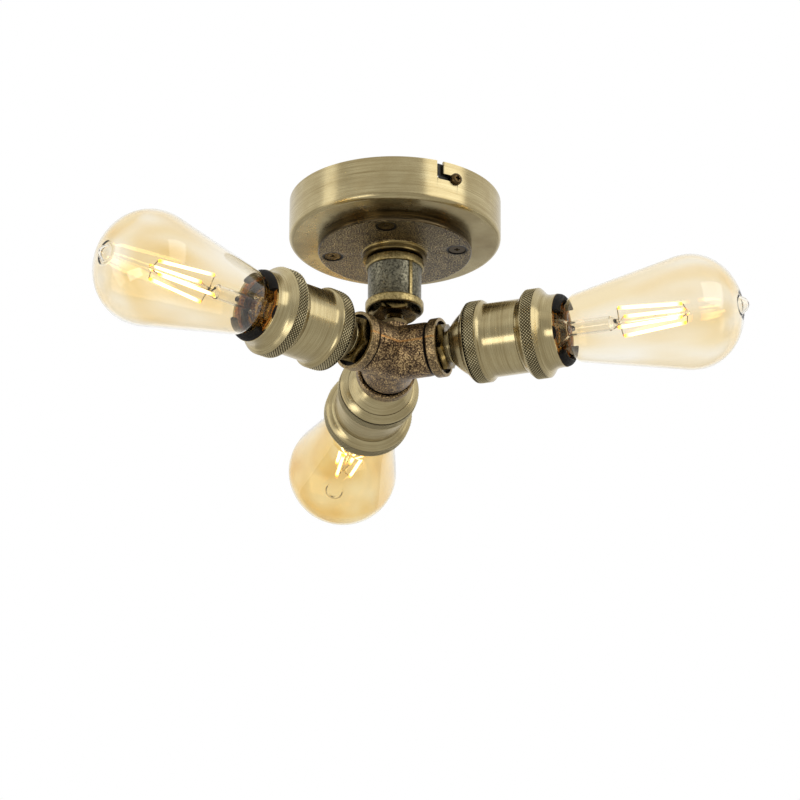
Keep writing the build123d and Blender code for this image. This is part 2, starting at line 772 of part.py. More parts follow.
def centre_contact():
    """Sprung centre contact: a strip folded over from its foot to the lamp's eyelet."""
    foot_face = insulator_floor + contact_thickness
    tip = lamp_rear - contact_gap
    half = contact_foot / 2
    pad = contact_pad / 2
    strip = outline(
        (insulator_floor, -half), (insulator_floor, half),
        (foot_face + contact_thickness, half), (tip, pad), (tip, -pad),
        (tip - contact_thickness, -pad), (tip - contact_thickness, pad - contact_thickness),
        (foot_face, half - 2 * contact_thickness), (foot_face, -half))
    return extrude(Plane.XZ * strip, contact_width / 2, both=True)


# ------------------------------------------------------------------------ the lamp
def lamp_cap():
    """The lamp's screw cap and, as a second solid, the eyelet at its end."""
    outer = lamp_cap_radius
    inner = outer - lamp_cap_wall
    rim = outer + lamp_cap_rim_flare
    rim_start = lamp_cap_rim - lamp_cap_rim_width
    shell = turned_x(outline(
        (lamp_shoulder, button_radius), (lamp_shoulder + cap_shoulder, outer),
        (rim_start, outer), (rim_start, rim), (lamp_cap_rim, rim),
        (lamp_cap_rim, inner), (lamp_shoulder + cap_shoulder, inner),
        (lamp_shoulder, button_radius - lamp_cap_wall)))
    crown = eyelet_radius - eyelet_taper
    dome = outline((lamp_rear, 0), (lamp_rear, crown),
                   (lamp_rear + eyelet_height, eyelet_radius), (lamp_rear + eyelet_height, 0))
    eyelet = turned_x(round_corner(dome, eyelet_round, (lamp_rear, crown)))
    return [shell, eyelet]


def lamp_insulator():
    """Glass insulator between the cap and the eyelet."""
    foot = lamp_rear + eyelet_height
    return turned_x(outline(
        (foot, 0), (foot, eyelet_foot), (lamp_shoulder, button_radius - lamp_cap_wall),
        (lamp_shoulder, 0)))


def bulb_outline(inset):
    """Half outline of the glass, its surface moved inwards by the inset."""
    neck = neck_radius - inset
    start = lamp_cap_rim - neck_sleeve
    straight = lamp_cap_rim + neck_run
    middle = (lamp_cap_rim + shoulder_middle[0], neck + shoulder_middle[1])
    end = (lamp_cap_rim + shoulder_end[0], neck + shoulder_end[1])
    ball = bulb_radius - inset
    reach = math.hypot(bulb_centre - end[0], end[1])
    heading = math.asin(ball / reach) - math.asin(end[1] / reach)
    run = math.sqrt(reach ** 2 - ball ** 2)
    tangent = (end[0] + run * math.cos(heading), end[1] + run * math.sin(heading))
    slope = (math.cos(heading), math.sin(heading))
    half_way = math.radians(90) + heading / 2
    crown = (bulb_centre + ball * math.cos(half_way), ball * math.sin(half_way))
    edges = Line((start, 0), (start, neck)) + Line((start, neck), (straight, neck))
    edges += Spline((straight, neck), middle, end, tangents=[(1, 0), slope])
    edges += Line(end, tangent)
    edges += ThreePointArc(tangent, crown, (bulb_centre, ball))
    nose = bulb_nose_length - inset
    edges += EllipticalCenterArc((bulb_centre, 0), nose, ball, start_angle=0,
                                 arc_size=quarter_turn)
    edges += Line((bulb_centre + nose, 0), (start, 0))
    return make_face(edges)


def glass_envelope():
    """Blown glass envelope with its sealed-off pip, open at the cap."""
    pip_centre = lamp_tip - pip_radius
    pip = make_face(CenterArc((pip_centre, 0), pip_radius, 0, 180)
                    + Line((pip_centre - pip_radius, 0), (lamp_tip, 0)))
    skin = bulb_outline(0.0) + pip
    hollows = [v for v in skin.vertices() if v.X > pip_centre and 0.1 < v.Y]
    skin = fillet(hollows, pip_blend)
    outside = turned_x(skin)
    inside = turned_x(bulb_outline(bulb_wall))
    return outside - inside


def glass_stem():
    """Flare, stem tube, flattened pinch and the thin post that carries the filaments."""
    flare = neck_radius - bulb_wall - stem_clearance
    start = lamp_cap_rim - neck_sleeve / 2
    tube = stem_tube_radius
    bore = tube - stem_flare_wall
    waist = start + stem_flare_length
    body = turned_x(outline(
        (start, flare), (waist, tube), (stem_pinch, tube), (stem_pinch, bore),
        (waist, bore), (start, flare - stem_flare_wall)))
    pinch = loft([Plane.YZ.offset(stem_pinch) * Circle(tube),
                  Plane.YZ.offset(pinch_end) * Ellipse(tube, stem_pinch_half)])
    post = ring_x(pinch_end - post_root, post_end, post_radius)
    button = Pos(post_end, 0, 0) * Sphere(post_button)
    return body + pinch + post + button


def filament_ends(index):
    """The two ends of one filament."""
    angle = math.radians(filament_turn + index * 360 / filament_count)
    rear = (filament_rear, filament_rear_circle * math.cos(angle),
            filament_rear_circle * math.sin(angle))
    front = (filament_front, filament_front_circle * math.cos(angle),
             filament_front_circle * math.sin(angle))
    return rear, front


def filaments():
    """Straight light rods, splayed from the front hub to the stem's pinch."""
    return [between(*filament_ends(index), filament_radius)
            for index in range(filament_count)]


def support_wires():
    """Wires that hold each filament: one from the pinch and one from the post."""
    wires = []
    for index in range(filament_count):
        rear, front = (Vector(*end) for end in filament_ends(index))
        along = (front - rear).normalized()
        angle = math.radians(filament_turn + index * 360 / filament_count)
        out = Vector(0, math.cos(angle), math.sin(angle))
        clear = wire_radius + wire_gap
        root = Vector(pinch_end + clear, 0, 0) + out * (post_radius + clear)
        foot = rear - along * clear
        wires.append(between(tuple(root), tuple(foot), wire_radius))
        hub = Vector(post_end, 0, 0) + out * (post_button + wire_gap)
        tip = front + along * clear
        wires.append(between(tuple(hub), tuple(tip), wire_radius))
    return wires


# --------------------------------------------------------------------------- build
os.makedirs("parts", exist_ok=True)

save("mounting_bracket", mounting_bracket())
save("side_screws", *side_screws())
save("earth_screw", earth_screw())
save("terminal_block", terminal_block())
save("terminal_screws", *terminal_screws())
save("ceiling_rose", ceiling_rose())
save("pipe_flange", pipe_flange())
save("flange_screws", *flange_screws())
save("flange_nuts", *flange_nuts())
save("close_nipple", close_nipple())
save("pipe_coupling", pipe_coupling())
save("coupling_bush", coupling_bush())
save("stem_tube", stem_tube())
save("stem_nut", stem_nut())
save("pipe_tee", pipe_tee())

arm_pieces = {
    "arm_tube": [arm_tube()],
    "holder_cap": [holder_cap()],
    "holder_shell": [holder_shell()],
    "front_ring": [front_ring()],
    "insulator": [insulator()],
    "screw_shell": [screw_shell()],
    "centre_contact": [centre_contact()],
    "lamp_cap": lamp_cap(),
    "lamp_insulator": [lamp_insulator()],
    "glass_envelope": [glass_envelope()],
    "glass_stem": [glass_stem()],
    "filaments": filaments(),
    "support_wires": support_wires(),
}
for arm, azimuth in arm_azimuths.items():
    place = Pos(0, 0, arm_height) * Rot(0, 0, azimuth)
    save(f"arm_bush_{arm}", place * arm_bush(arm))
    for name, pieces in arm_pieces.items():
        save(f"{name}_{arm}", *[place * piece for piece in pieces])
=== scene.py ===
import math

import bmesh
import bpy
from mathutils import Matrix, Vector


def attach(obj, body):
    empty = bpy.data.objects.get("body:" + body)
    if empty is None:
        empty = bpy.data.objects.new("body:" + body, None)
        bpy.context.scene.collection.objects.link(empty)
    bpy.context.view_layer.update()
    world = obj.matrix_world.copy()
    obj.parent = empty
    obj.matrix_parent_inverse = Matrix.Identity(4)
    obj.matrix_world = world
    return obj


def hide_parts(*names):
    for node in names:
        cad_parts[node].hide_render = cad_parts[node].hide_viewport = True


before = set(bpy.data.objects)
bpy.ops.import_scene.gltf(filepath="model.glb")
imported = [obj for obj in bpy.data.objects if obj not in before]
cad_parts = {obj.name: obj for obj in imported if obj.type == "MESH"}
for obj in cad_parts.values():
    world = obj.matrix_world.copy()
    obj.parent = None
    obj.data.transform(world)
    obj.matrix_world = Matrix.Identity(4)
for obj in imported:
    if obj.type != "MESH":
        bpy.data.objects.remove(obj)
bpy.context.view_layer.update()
mm = 0.001


# ------------------------------------------------------------------ ceiling rose
# A cup spun from brass sheet, 120 mm across, then brushed round and lacquered.
# Two L-shaped slots are punched in its wall, and it hangs by them on two side screws.
def linear(text):
    """A colour written as sRGB hex, as the linear values a shader takes."""
    parts = [int(text[i:i + 2], 16) / 255 for i in (1, 3, 5)]
    return [p / 12.92 if p < 0.04045 else ((p + 0.055) / 1.055) ** 2.4 for p in parts] + [1.0]


def add(tree, kind, links=None, **settings):
    """Add one node to a material: its settings first, then what feeds its sockets."""
    node = tree.nodes.new(kind)
    for key, value in settings.items():
        setattr(node, key, value)
    for socket, value in (links or {}).items():
        if isinstance(value, bpy.types.NodeSocket):
            tree.links.new(value, node.inputs[socket])
        else:
            node.inputs[socket].default_value = value
    return node


def new_material(name):
    """An empty node material and its output node."""
    material = bpy.data.materials.new(name)
    material.use_nodes = True
    material.node_tree.nodes.clear()
    output = material.node_tree.nodes.new("ShaderNodeOutputMaterial")
    return material, material.node_tree, output


def surface(tree, output, links):
    """Give a material a Principled surface with these values."""
    shader = add(tree, "ShaderNodeBsdfPrincipled", links)
    tree.links.new(shader.outputs["BSDF"], output.inputs["Surface"])


def relief(tree, height, strength, depth):
    """The surface's direction, roughened by a height map of the given depth in mm."""
    return add(tree, "ShaderNodeBump", {"Height": height, "Strength": strength,
                                        "Distance": depth * mm}).outputs["Normal"]


def pick(piece, kind, test):
    """Select, in edit mode, only the vertices, edges or faces that pass the test."""
    bpy.ops.mesh.select_mode(type=kind)
    bpy.ops.mesh.select_all(action="DESELECT")
    cage = bmesh.from_edit_mesh(piece.data)
    for item in {"VERT": cage.verts, "EDGE": cage.edges, "FACE": cage.faces}[kind]:
        if test(item):
            item.select_set(True)
    bmesh.update_edit_mesh(piece.data)


def turned(name, profile, steps=128, axis=(1, 0, 0), closed=True):
    """Turn an outline of (length, radius) points in mm about X, or about Z, as on a lathe."""
    upright = axis[2] == 1
    places = [Vector((r, 0, s)) if upright else Vector((s, 0, r)) for s, r in profile]
    places = [place * mm for place in places + places[:1] * closed]
    bpy.ops.object.select_all(action="DESELECT")
    bpy.ops.mesh.primitive_plane_add(size=1)
    piece = bpy.context.object
    piece.name = name
    bpy.ops.object.mode_set(mode="EDIT")
    bpy.ops.mesh.select_mode(type="VERT")
    bpy.ops.mesh.merge(type="CENTER")
    bpy.ops.transform.translate(value=places[0])
    for here, there in zip(places, places[1:]):
        bpy.ops.mesh.extrude_region_move(TRANSFORM_OT_translate={"value": there - here})
    bpy.ops.mesh.select_all(action="SELECT")
    bpy.ops.mesh.spin(steps=steps, angle=math.tau, center=(0, 0, 0), axis=axis)
    bpy.ops.mesh.select_all(action="SELECT")
    bpy.ops.mesh.remove_doubles(threshold=0.002 * mm)
    bpy.ops.mesh.normals_make_consistent(inside=False)
    bpy.ops.object.mode_set(mode="OBJECT")
    return piece


def apply_modifier(piece, kind, **settings):
    """Add one modifier with its settings and apply it."""
    bpy.context.view_layer.objects.active = piece
    modifier = piece.modifiers.new(kind.title(), kind)
    for key, value in settings.items():
        setattr(modifier, key, value)
    bpy.ops.object.modifier_apply(modifier=modifier.name)


def cut(piece, tool, operation="DIFFERENCE"):
    """Cut one solid with another, or join or intersect them, and delete the tool."""
    apply_modifier(piece, "BOOLEAN", object=tool, operation=operation, solver="EXACT")
    bpy.data.objects.remove(tool)


def smooth(piece, degrees=30.0):
    """Shade a piece smooth, except at edges sharper than the angle."""
    bpy.ops.object.select_all(action="DESELECT")
    piece.select_set(True)
    bpy.context.view_layer.objects.active = piece
    bpy.ops.object.shade_smooth_by_angle(angle=math.radians(degrees))


def soften(piece, width, segments=2, degrees=30.0, **settings):
    """Break the sharp edges with a small bevel and shade the piece smooth."""
    apply_modifier(piece, "BEVEL", width=width * mm, segments=segments, limit_method="ANGLE",
                   angle_limit=math.radians(degrees), harden_normals=False, **settings)
    smooth(piece)


def place(piece, matrix):
    """Move the mesh itself, so that the object stays at the origin."""
    piece.data.transform(matrix @ piece.matrix_basis)
    piece.matrix_basis = Matrix()


def block(length, width, height):
    """A plain block round the origin, to cut or to join with, in mm."""
    bpy.ops.mesh.primitive_cube_add(size=1, scale=(length * mm, width * mm, height * mm))
    place(bpy.context.object, Matrix())
    return bpy.context.object


def polar(azimuth, radius, height):
    """A place round the stem, its own X pointing outwards, in mm."""
    turn = Matrix.Rotation(math.radians(azimuth), 4, "Z")
    return turn @ Matrix.Translation((radius * mm, 0, height * mm))


def finish(piece, material, body, slot, *nodes):
    """Give a piece its material and body, and the CAD nodes that it stands for."""
    if material:
        piece.data.materials.clear()
        piece.data.materials.append(material)
    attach(piece, body)
    if nodes:
        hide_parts(*nodes)


def joined(*pieces):
    """Join pieces into the first one."""
    bpy.ops.object.select_all(action="DESELECT")
    for piece in pieces:
        piece.select_set(True)
    bpy.context.view_layer.objects.active = pieces[0]
    bpy.ops.object.join()
    return pieces[0]


def arc(start, through, end, steps):
    """Points of the circular arc through three points, without its first."""
    (ax, ay), (bx, by), (cx, cy) = start, through, end
    d = 2 * (ax * (by - cy) + bx * (cy - ay) + cx * (ay - by))
    a2, b2, c2 = ax * ax + ay * ay, bx * bx + by * by, cx * cx + cy * cy
    ox = (a2 * (by - cy) + b2 * (cy - ay) + c2 * (ay - by)) / d
    oy = (a2 * (cx - bx) + b2 * (ax - cx) + c2 * (bx - ax)) / d
    radius = math.hypot(ax - ox, ay - oy)
    first = math.atan2(ay - oy, ax - ox)
    turn = math.remainder(math.atan2(cy - oy, cx - ox) - first, math.tau)
    return [(ox + radius * math.cos(first + turn * i / steps),
             oy + radius * math.sin(first + turn * i / steps)) for i in range(1, steps + 1)]


def axis_place(tree, azimuth=None):
    """Object coordinates turned so that the piece's axis is Z, or X for a piece on an arm."""
    place_node = add(tree, "ShaderNodeTexCoord")
    if azimuth is None:
        return place_node.outputs["Object"]
    return add(tree, "ShaderNodeMapping", {
        "Vector": place_node.outputs["Object"], "Rotation": (0, 0, -math.radians(azimuth)),
        "Location": (0, 0, -arm_height * mm)}).outputs["Vector"]


def math_node(tree, operation, *values, clamp=False):
    """One Math node and its result."""
    return add(tree, "ShaderNodeMath", dict(enumerate(values)), operation=operation,
               use_clamp=clamp).outputs["Value"]


def noise(tree, vector, size, detail=3.0, roughness=0.55):
    """Noise whose grains are about the given size in mm, or one size for each direction."""
    if isinstance(size, tuple):
        vector = add(tree, "ShaderNodeMapping", {
            "Vector": vector, "Scale": [1 / (value * mm) for value in size]}).outputs["Vector"]
        size = 1 / mm
    return add(tree, "ShaderNodeTexNoise", {"Vector": vector, "Scale": 1 / (size * mm),
                                            "Detail": detail, "Roughness": roughness}
               ).outputs["Fac"]


def ramp(tree, factor, *stops):
    """A colour ramp through (position, hex colour) stops."""
    node = add(tree, "ShaderNodeValToRGB", {"Fac": factor})
    elements = node.color_ramp.elements
    while len(elements) < len(stops):
        elements.new(0.5)
    for element, (position, colour) in zip(elements, sorted(stops)):
        element.position = position
        element.color = linear(colour)
    return node.outputs["Color"]


def mix_colour(tree, factor, first, second):
    """The first colour where the factor is 0 and the second where it is 1."""
    return add(tree, "ShaderNodeMixRGB", {"Fac": factor, "Color1": first, "Color2": second}
               ).outputs["Color"]


def mixed(tree, factor, first, second):
    """The first number where the factor is 0 and the second where it is 1."""
    return add(tree, "ShaderNodeMix", {"Factor": factor, "A": first, "B": second},
               data_type="FLOAT").outputs["Result"]


def fade(tree, value, low, high, to_low=0.0, to_high=1.0):
    """A value carried from one range to another and held at its ends."""
    return add(tree, "ShaderNodeMapRange", {"Value": value, "From Min": low, "From Max": high,
                                            "To Min": to_low, "To Max": to_high}
               ).outputs["Result"]


def along_and_radius(tree, vector, upright):
    """How far a point lies along the piece's axis, and how far from it, in metres."""
    parts = add(tree, "ShaderNodeSeparateXYZ", {"Vector": vector}).outputs
    along, across = ("Z", "X") if upright else ("X", "Z")
    square = math_node(tree, "ADD", math_node(tree, "POWER", parts["Y"], 2.0),
                       math_node(tree, "POWER", parts[across], 2.0))
    return parts[along], math_node(tree, "SQRT", square)


def brushed_antique_brass(name, azimuth=None, knurls=()):
    """Brass brushed round its axis and aged: long highlights across fine rings of light and
    dark. On the knurls, given as (start, end, crest) in mm, painted shade darkens the grooves and
    a painted highlight lightens the crests.

    The rings are 0.3 mm apart and the diamonds 1.9 mm, both a little coarser than real, so
    that they show."""
    material, tree, output = new_material(name)
    place_node = axis_place(tree, azimuth)
    upright = azimuth is None
    fine, coarse = ((24.0, 24.0, 0.30), (60.0, 60.0, 2.4)) if upright else \
        ((0.30, 24.0, 24.0), (2.4, 60.0, 60.0))
    rings = noise(tree, place_node, fine, 4.0, 0.65)
    bands = noise(tree, place_node, coarse, 2.0)
    cloud = noise(tree, place_node, 9.0, 5.0)
    both = mixed(tree, 0.35, rings, bands)
    tone = ramp(tree, both, (0.30, "#8E7C54"), (0.68, "#CFC196"))
    brass_colour = mix_colour(tree, fade(tree, cloud, 0.4, 0.7, 0.0, 0.5), tone, linear("#A6946A"))
    gloss = fade(tree, rings, 0.3, 0.7, 0.19, 0.31)
    along, radius = along_and_radius(tree, place_node, upright)
    # Painted light on each knurl: near-black painted shade in the grooves, and a pale painted
    # highlight on the crests.
    for start, end, crest in knurls:
        inside = math_node(tree, "COMPARE", along, (start + end) / 2 * mm, (end - start) / 2 * mm)
        groove = fade(tree, radius, (crest - 0.42) * mm, (crest - 0.18) * mm, 1.0, 0.0)
        painted_groove_shade = math_node(tree, "MULTIPLY", inside, groove)
        painted_crest_highlight = math_node(tree, "MULTIPLY", inside,
                           fade(tree, radius, (crest - 0.20) * mm, (crest - 0.06) * mm))
        brass_colour = mix_colour(tree, painted_crest_highlight, brass_colour, linear("#E4D8B0"))
        brass_colour = mix_colour(tree, painted_groove_shade, brass_colour, linear("#161008"))
        gloss = mixed(tree, painted_groove_shade, gloss, 0.6)
    centre = [0, 0, 0 if upright else -arm_height * mm]
    axis = [0, 0, 1] if upright else [math.cos(math.radians(azimuth)),
                                      math.sin(math.radians(azimuth)), 0]
    from_axis = add(tree, "ShaderNodeVectorMath", {0: axis_place(tree), 1: centre},
                    operation="ADD").outputs["Vector"]
    round_way = add(tree, "ShaderNodeVectorMath", {0: from_axis, 1: axis},
                    operation="CROSS_PRODUCT")
    surface(tree, output, {
        "Base Color": brass_colour, "Metallic": 1.0, "Roughness": gloss, "Anisotropic": 0.75,
        "Anisotropic Rotation": 0.25, "Tangent": round_way.outputs["Vector"],
        "Normal": relief(tree, rings, 0.06, 0.05)})
    return material


arm_height = -94.0
rose_radius, rose_height, rose_wall, rose_edge = 60.0, 25.0, 1.5, 3.0
strap_azimuth, slot_turn, slot_width, slot_drop = -56.0, 9.3, 3.8, 9.3
slot_depth = 12.0
rose_inner = rose_radius - rose_wall
rose_floor = -rose_height + rose_wall
rose_profile = [(0.0, rose_radius), (-rose_height + rose_edge, rose_radius)]
rose_profile += arc(rose_profile[-1],
                    (-rose_height + rose_edge * 0.293, rose_radius - rose_edge * 0.293),
                    (-rose_height, rose_radius - rose_edge), 6)
rose_profile += [(-rose_height, 7.0), (rose_floor, 7.0), (rose_floor, rose_inner - rose_wall)]
rose_profile += arc(rose_profile[-1],
                    (rose_floor + rose_wall * 0.293, rose_inner - rose_wall * 0.293),
                    (rose_floor + rose_wall, rose_inner), 4)
rose_profile += [(0.0, rose_inner), (0.0, rose_radius - 0.2)]
rose = turned("rose", rose_profile, 192, (0, 0, 1))
for side in (0.0, 180.0):
    for azimuth in (strap_azimuth + side, strap_azimuth + side - slot_turn):
        bpy.ops.mesh.primitive_cylinder_add(vertices=32, radius=slot_width / 2 * mm,
                                            depth=slot_depth * mm, rotation=(0, math.pi / 2, 0))
        punch = bpy.context.object
        place(punch, Matrix())
        place(punch, polar(azimuth, rose_radius, -slot_drop))
        cut(rose, punch)
    leg = block(slot_depth, slot_width, 2 * slot_drop)
    place(leg, polar(strap_azimuth + side - slot_turn, rose_radius, 0.0))
    cut(rose, leg)
    track = turned("track", [
        (-slot_drop - slot_width / 2, rose_radius - slot_depth / 2),
        (-slot_drop - slot_width / 2, rose_radius + slot_depth / 2),
        (-slot_drop + slot_width / 2, rose_radius + slot_depth / 2),
        (-slot_drop + slot_width / 2, rose_radius - slot_depth / 2)], 96, (0, 0, 1))
    wedge = 1.2 * rose_radius
    for half, azimuth in ((1, strap_azimuth + side - slot_turn), (-1, strap_azimuth + side)):
        keep = block(wedge, wedge, wedge)
        place(keep, Matrix.Translation((wedge / 2 * mm, half * wedge / 2 * mm, 0)))
        place(keep, Matrix.Rotation(math.radians(azimuth), 4, "Z"))
        cut(track, keep, "INTERSECT")
    cut(rose, track)
soften(rose, 0.18)
rose_brass = brushed_antique_brass("brushed_antique_brass_rose")
finish(rose, rose_brass, "light_frame", "antique_brass", "ceiling_rose")


# ------------------------------------------- bracket, screws and terminal block
# Inside the rose: a strap pressed from zinc-plated steel sheet, screwed to the ceiling,
# with a moulded nylon terminal block, brass screws and the two side screws in its ears.
def plated_steel(name, colour, roughness, grit):
    """Plated or turned metal: an even colour with a faint mottle and small gloss changes."""
    material, tree, output = new_material(name)
    spangle = noise(tree, axis_place(tree), grit, 4.0, 0.5)
    tone = mix_colour(tree, spangle, [0.75 * c for c in linear(colour)[:3]] + [1.0],
                      linear(colour))
    surface(tree, output, {
        "Base Color": tone, "Metallic": 1.0,
        "Roughness": fade(tree, spangle, 0.3, 0.7, roughness - 0.06, roughness + 0.1)})
    return material


def moulded_nylon(name, colour):
    """Moulded nylon: milky white, with the faint grain of the mould."""
    material, tree, output = new_material(name)
    grain = noise(tree, axis_place(tree), 0.4, 3.0, 0.5)
    surface(tree, output, {
        "Base Color": mix_colour(tree, grain, [0.9 * c for c in linear(colour)[:3]] + [1.0],
                                 linear(colour)),
        "Roughness": 0.45, "IOR": 1.53, "Subsurface Weight": 0.1,
        "Normal": relief(tree, grain, 0.15, 0.05)})
    return material


def refinish(material, *nodes):
    """Give pieces that keep their CAD form a new material."""
    for node in nodes:
        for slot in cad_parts[node].material_slots:
            slot.material = material


def cross_screw(name, profile, face, out, recess, matrix, axis=(1, 0, 0)):
    """A screw turned from its profile, with a cross recess sunk from its face."""
    screw = turned(name, profile, 48, axis, closed=False)
    for turn in (0.0, math.pi / 2):
        bpy.ops.mesh.primitive_cube_add(size=1, scale=(recess * mm, 0.28 * recess * mm,
                                                       0.8 * recess * mm))
        slit = bpy.context.object
        bpy.ops.object.mode_set(mode="EDIT")
        pick(slit, "FACE", lambda f: f.normal.z * out < -0.5)
        bpy.ops.transform.resize(value=(0.45, 0.7, 1.0))
        bpy.ops.object.mode_set(mode="OBJECT")
        place(slit, Matrix())
        place(slit, Matrix.Rotation(turn, 4, "Z"))
        if axis[0]:
            place(slit, Matrix.Rotation(math.pi / 2, 4, "Y"))
        place(slit, Matrix.Translation(Vector(axis) * face * mm))
        cut(screw, slit)
    soften(screw, 0.08, 1)
    place(screw, matrix)
    return screw


zinc_plate = plated_steel("zinc_plated_steel", "#8E8F8E", 0.38, 1.6)
screw_brass = plated_steel("turned_screw_brass", "#B09A62", 0.28, 0.8)
screw_bronze = plated_steel("bronzed_screw", "#5A482C", 0.26, 0.6)
nylon = moulded_nylon("moulded_nylon", "#E9E6DC")
refinish(zinc_plate, "flange_nuts")
# The strap is coloured dark grey to paint the shade that lies behind the slots inside the rose.
refinish(plated_steel("zinc_plated_strap_painted_shade", "#3C3A36", 0.42, 1.6), "mounting_bracket")
refinish(screw_brass, "earth_screw", "terminal_screws")
refinish(nylon, "terminal_block")
head_radius, head_height, shank, thread_pitch, screw_seat = 3.4, 2.4, 1.75, 0.7, 60.25
screw_end = -(screw_seat - 57.5 + 8.0)
head_top, head_side, plain_shank = 1.9, 0.9, -1.5
pan_profile = [(head_height, 0.0), (head_height, head_top)]
pan_profile += arc(pan_profile[-1], (1.9, 2.95), (head_side, head_radius), 6)
pan_profile += [(0.0, head_radius), (0.0, shank), (plain_shank, shank)]
for index in range(int((plain_shank - screw_end) / thread_pitch)):
    start = plain_shank - index * thread_pitch
    pan_profile += [(start - 0.5 * thread_pitch, shank - 0.3), (start - thread_pitch, shank)]
pan_profile += [(screw_end, shank - 0.3), (screw_end, 0.0)]
side_pair = [cross_screw(f"side_screw_{index}", pan_profile, head_height, 1, 4.4,
                         polar(strap_azimuth + side, screw_seat, -slot_drop))
             for index, side in enumerate((0.0, 180.0))]
joined(*side_pair).name = "side_screws.pair"
finish(side_pair[0], screw_bronze, "ceiling_bracket", "brass_screw", "side_screws")


# -------------------------------------------------------------------- pipe flange
# A floor flange cast in iron, its hub and rim turned bright, then bronzed dark.
# Its face keeps the sand grain, and four countersunk screws hold it under the rose.
def bronzed_casting(name, tones, grit, grain, gloss, marks, fineness=0.6):
    """Cast metal with a bronze patina, mottled and grainy. The marks function lays worn edges,
    turned places and painted shade over it: it takes and gives back colour, gloss and relief."""
    material, tree, output = new_material(name)
    place_node = axis_place(tree)
    patch = noise(tree, place_node, 6.0, 6.0, 0.62)
    sand = noise(tree, place_node, grit, 3.0, 0.6)
    both = mixed(tree, fineness, patch, sand)
    tone = ramp(tree, both, *zip((0.40, 0.47, 0.54, 0.61), tones))
    rough = fade(tree, sand, 0.3, 0.7, gloss - 0.12, gloss + 0.14)
    tone, rough, grain = marks(tree, place_node, tone, rough, grain)
    surface(tree, output, {
        "Base Color": tone, "Metallic": 0.9, "Roughness": rough,
        "Normal": relief(tree, sand, grain, 0.25)})
    return material


def flange_marks(tree, place_node, tone, rough, grain):
    """The hub turned to bare brass, the rim turned smooth and left dark, and painted shade round
    the countersunk screws.
    """
    height, radius = along_and_radius(tree, place_node, True)
    lathe = noise(tree, place_node, (30.0, 30.0, 0.5), 3.0)
    hub = fade(tree, radius, 18.9 * mm, 18.5 * mm)
    rim = fade(tree, radius, 42.9 * mm, 43.2 * mm)
    brass = ramp(tree, lathe, (0.35, "#4A3C22"), (0.62, "#A8925C"))
    polished = ramp(tree, lathe, (0.38, "#1A150E"), (0.62, "#66563A"))
    tone = mix_colour(tree, rim, mix_colour(tree, hub, tone, brass), polished)
    turned_part = math_node(tree, "MAXIMUM", hub, rim)
    square_on = add(tree, "ShaderNodeMapping", {
        "Vector": place_node, "Rotation": (0, 0, -math.radians(flange_hole_azimuth))})
    parts = add(tree, "ShaderNodeSeparateXYZ", {"Vector": square_on.outputs["Vector"]}).outputs
    sides = [math_node(tree, "ABSOLUTE", parts[axis]) for axis in ("X", "Y")]
    off = math_node(tree, "SUBTRACT", math_node(tree, "MAXIMUM", *sides), flange_holes * mm)
    near = math_node(tree, "SQRT", math_node(
        tree, "ADD", math_node(tree, "POWER", off, 2.0),
        math_node(tree, "POWER", math_node(tree, "MINIMUM", *sides), 2.0)))
    # Painted shade: the face darkens to near black round each countersunk screw.
    tone = mix_colour(tree, fade(tree, near, 6.5 * mm, 5.7 * mm), tone, linear("#060403"))
    return tone, mixed(tree, turned_part, rough, 0.20), mixed(tree, turned_part, grain, 0.03)


flange_radius, flange_face, hub_radius, hub_end = 43.5, -31.5, 18.0, -36.2
flange_bore, flange_round, hub_root = 10.5, 0.9, 2.0
flange_holes, flange_hole_azimuth, sink_radius, shank_radius = 35.5, -8.0, 5.15, 2.55
flange_profile = [(-rose_height, flange_bore), (-rose_height, flange_radius),
                  (flange_face + flange_round, flange_radius)]
flange_profile += arc(flange_profile[-1],
                      (flange_face + flange_round * 0.293, flange_radius - flange_round * 0.293),
                      (flange_face, flange_radius - flange_round), 5)
flange_profile += [(flange_face, hub_radius + hub_root)]
flange_profile += arc(flange_profile[-1],
                      (flange_face - hub_root * 0.293, hub_radius + hub_root * 0.293),
                      (flange_face - hub_root, hub_radius), 6)
flange_profile += [(hub_end, hub_radius), (hub_end, flange_bore)]
flange = turned("flange", flange_profile, 160, (0, 0, 1))
for index in range(4):
    sink = turned("sink", [
        (-rose_height + 1, 0.0), (-rose_height + 1, shank_radius),
        (flange_face + 0.3 + sink_radius - shank_radius, shank_radius),
        (flange_face + 0.3, sink_radius), (flange_face - 1, sink_radius), (flange_face - 1, 0.0)],
        40, (0, 0, 1), closed=False)
    place(sink, polar(flange_hole_azimuth + 90 * index, flange_holes, 0))
    cut(flange, sink)
soften(flange, 0.3)
dark_bronze = bronzed_casting("bronzed_iron_flange", ("#17120C", "#4C4131", "#7A6A4D", "#CDB987"),
                              0.75, 1.0, 0.34, flange_marks, 0.85)
finish(flange, dark_bronze, "light_frame", "patinated_casting", "pipe_flange")
sunk, tail_end, machine_shank, machine_pitch = flange_face + 0.3, -18.5, 2.5, 0.8
sunk_head, head_edge, tail_start = 4.7, 0.25, -21.0
sunk_profile = [(sunk, 0.0), (sunk, sunk_head), (sunk + head_edge, sunk_head),
                (sunk + head_edge + sunk_head - machine_shank, machine_shank),
                (tail_start, machine_shank)]
for index in range(3):
    start = tail_start + index * machine_pitch
    sunk_profile += [(start + 0.5 * machine_pitch, machine_shank - 0.35),
                     (start + machine_pitch, machine_shank)]
sunk_profile += [(tail_end, machine_shank - 0.35), (tail_end, 0.0)]
flange_screws = [cross_screw(f"flange_screw_{index}", sunk_profile, sunk, -1, 4.6,
                             polar(flange_hole_azimuth + 90 * index, flange_holes, 0), (0, 0, 1))
                 for index in range(4)]
joined(*flange_screws).name = "flange_screws.set"
